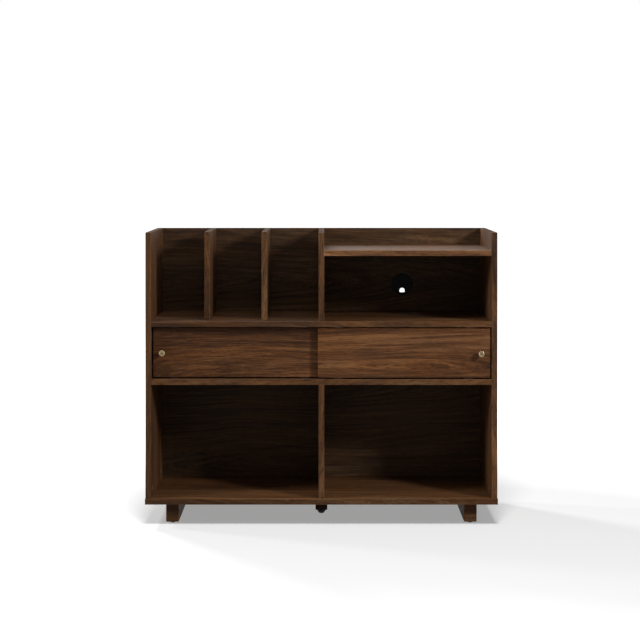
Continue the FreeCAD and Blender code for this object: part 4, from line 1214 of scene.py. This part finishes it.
@dataclass
class Studio:
    """The pale floor, the lamps and the camera."""

    image_side: int = 640
    focal_pixels: float = 1774.0
    vanishing_x: float = 321.4
    horizon_y: float = 165.0
    camera_height: float = 1.0375
    middle: Vector = field(default_factory=lambda: Vector((0.0, 0.0, 0.45)))
    camera_distance: float = 5.1
    camera_reach: float = 200.0
    front_plane: float = -0.194
    sensor: float = 36.0
    floor_size: float = 60.0
    floor_colour: Colour = (0.8, 0.8, 0.805)
    floor_roughness: float = 0.9
    sky_light: float = 0.1
    floor_glow: float = 0.33
    floor_bounce: float = 0.25
    glow_centre: Triple = (0.3, -0.5, 0.0)
    glow_from: float = 0.95
    glow_to: float = 2.0

    def camera(self) -> None:
        """Places the level camera, shifted so that the horizon lies above the middle of the picture."""
        data = bpy.data.cameras.new("camera")
        data.sensor_width = self.sensor
        data.lens = self.focal_pixels / self.image_side * self.sensor
        data.shift_x = (self.image_side / 2 - self.vanishing_x) / self.image_side
        data.shift_y = (self.horizon_y - self.image_side / 2) / self.image_side
        data.clip_end = self.camera_reach
        camera = bpy.data.objects.new("camera", data)
        camera.location = (0.0, self.front_plane - self.camera_distance, self.camera_height)
        camera.rotation_euler = (math.radians(90.0), 0.0, 0.0)
        bpy.context.scene.collection.objects.link(camera)
        bpy.context.scene.camera = camera

    def lamp(self, name: str, place: Vector, size: float, power: float, lit: bpy.types.Collection) -> None:
        """Adds a soft square lamp that faces the middle of the cabinet.

        Args:
            name: The lamp's name.
            place: Where it stands.
            size: The length of its side.
            power: Its power in watts.
            lit: The only objects that it lights.
        """
        data = bpy.data.lights.new(name, "AREA")
        data.size = size
        data.energy = power
        lamp = bpy.data.objects.new(name, data)
        lamp.location = place
        lamp.rotation_euler = (self.middle - place).to_track_quat("-Z", "Y").to_euler()
        bpy.context.scene.collection.objects.link(lamp)
        lamp.light_linking.receiver_collection = lit

    @staticmethod
    def group(name: str, members: list[bpy.types.Object]) -> bpy.types.Collection:
        """Puts objects in a collection of their own, for a lamp to light.

        Args:
            name: The collection's name.
            members: The objects.

        Returns:
            The collection.
        """
        made = bpy.data.collections.new(name)
        for member in members:
            made.objects.link(member)
        return made

    def floor(self) -> bpy.types.Object:
        """Makes the floor, which looks white where nothing shades it.

        Returns:
            The floor.
        """
        shape = bmesh.new()
        bmesh.ops.create_grid(shape, x_segments=1, y_segments=1, size=self.floor_size / 2)
        mesh = bpy.data.meshes.new("floor")
        shape.to_mesh(mesh)
        shape.free()
        floor = bpy.data.objects.new("floor", mesh)
        bpy.context.scene.collection.objects.link(floor)
        shader = Shader("pale_floor")
        seen = self.seen(shader.tree)
        colour = shader.mixed(seen, (self.floor_bounce,) * 3, self.floor_colour)
        shader.link(colour, shader.surface.inputs["Base Color"])
        shader.surface.inputs["Roughness"].default_value = self.floor_roughness
        shader.surface.inputs["Specular IOR Level"].default_value = 0.0
        distance = shader.vector("DISTANCE", shader.place, self.glow_centre)
        glow = shader.span(distance, self.glow_from, self.glow_to, self.floor_glow, 1.0)
        shader.surface.inputs["Emission Color"].default_value = WHITE
        shader.link(shader.math("MULTIPLY", seen, glow), shader.surface.inputs["Emission Strength"])
        mesh.materials.append(shader.material)
        return floor

    @staticmethod
    def seen(tree: bpy.types.NodeTree) -> Socket:
        """Picks out the eye's own rays, and those of a gloss or a glass that shows what the eye would see.

        Args:
            tree: The tree to add the nodes to.

        Returns:
            The socket of a value that is 1 for such a ray.
        """
        path = tree.nodes.new("ShaderNodeLightPath").outputs
        seen = path["Is Camera Ray"]
        for ray in ("Is Glossy Ray", "Is Transmission Ray"):
            either = tree.nodes.new("ShaderNodeMath")
            either.operation = "MAXIMUM"
            tree.links.new(seen, either.inputs[0])
            tree.links.new(path[ray], either.inputs[1])
            seen = either.outputs[0]
        return seen

    def sky(self) -> None:
        """Makes the world: plain white to look at, and softer as a light."""
        world = bpy.data.worlds.new("studio")
        world.use_nodes = True
        tree = world.node_tree
        background = tree.nodes["Background"]
        background.inputs["Color"].default_value = WHITE
        strength = tree.nodes.new("ShaderNodeMapRange")
        tree.links.new(self.seen(tree), strength.inputs["Value"])
        strength.inputs["To Min"].default_value = self.sky_light
        strength.inputs["To Max"].default_value = 1.0
        tree.links.new(strength.outputs["Result"], background.inputs["Strength"])
        bpy.context.scene.world = world

    def build(self) -> None:
        """Sets up the studio."""
        self.camera()
        cabinet = self.group("cabinet", [piece for piece in bpy.data.objects if piece.type == "MESH"])
        ground = self.group("ground", [self.floor()])
        self.sky()
        self.lamp("key_right", Vector((3.14, -2.93, 2.36)), 0.8, 150.0, cabinet)
        self.lamp("key_left", Vector((-3.86, -1.56, 1.88)), 0.8, 95.0, cabinet)
        self.lamp("over_cabinet", Vector((0.0, -1.5, 3.7)), 1.4, 20.0, cabinet)
        self.lamp("behind_cabinet", Vector((-1.2, 3.2, 2.4)), 1.6, 70.0, cabinet)
        self.lamp("front_of_floor", Vector((0.2, -3.6, 5.8)), 1.6, 285.0, ground)
        self.lamp("behind_floor", Vector((-2.9, 3.75, 3.9)), 0.8, 100.0, ground)
        self.lamp("beside_floor", Vector((-4.4, 1.7, 2.9)), 0.6, 44.0, ground)
        bpy.context.scene.view_settings.view_transform = "Standard"


def main() -> None:
    """Builds the sub-assemblies in order and sets up the studio."""
    logging.basicConfig(level=logging.INFO, format="%(name)s: %(message)s")
    makers: list[Callable[[], None]] = [
        Carcass().build,
        SlidingDoors().build,
        Base().build,
        Fittings().build,
        CableOutlet().build,
        Studio().build,
    ]
    for make in makers:
        make()


if __name__ == "__main__":
    main()
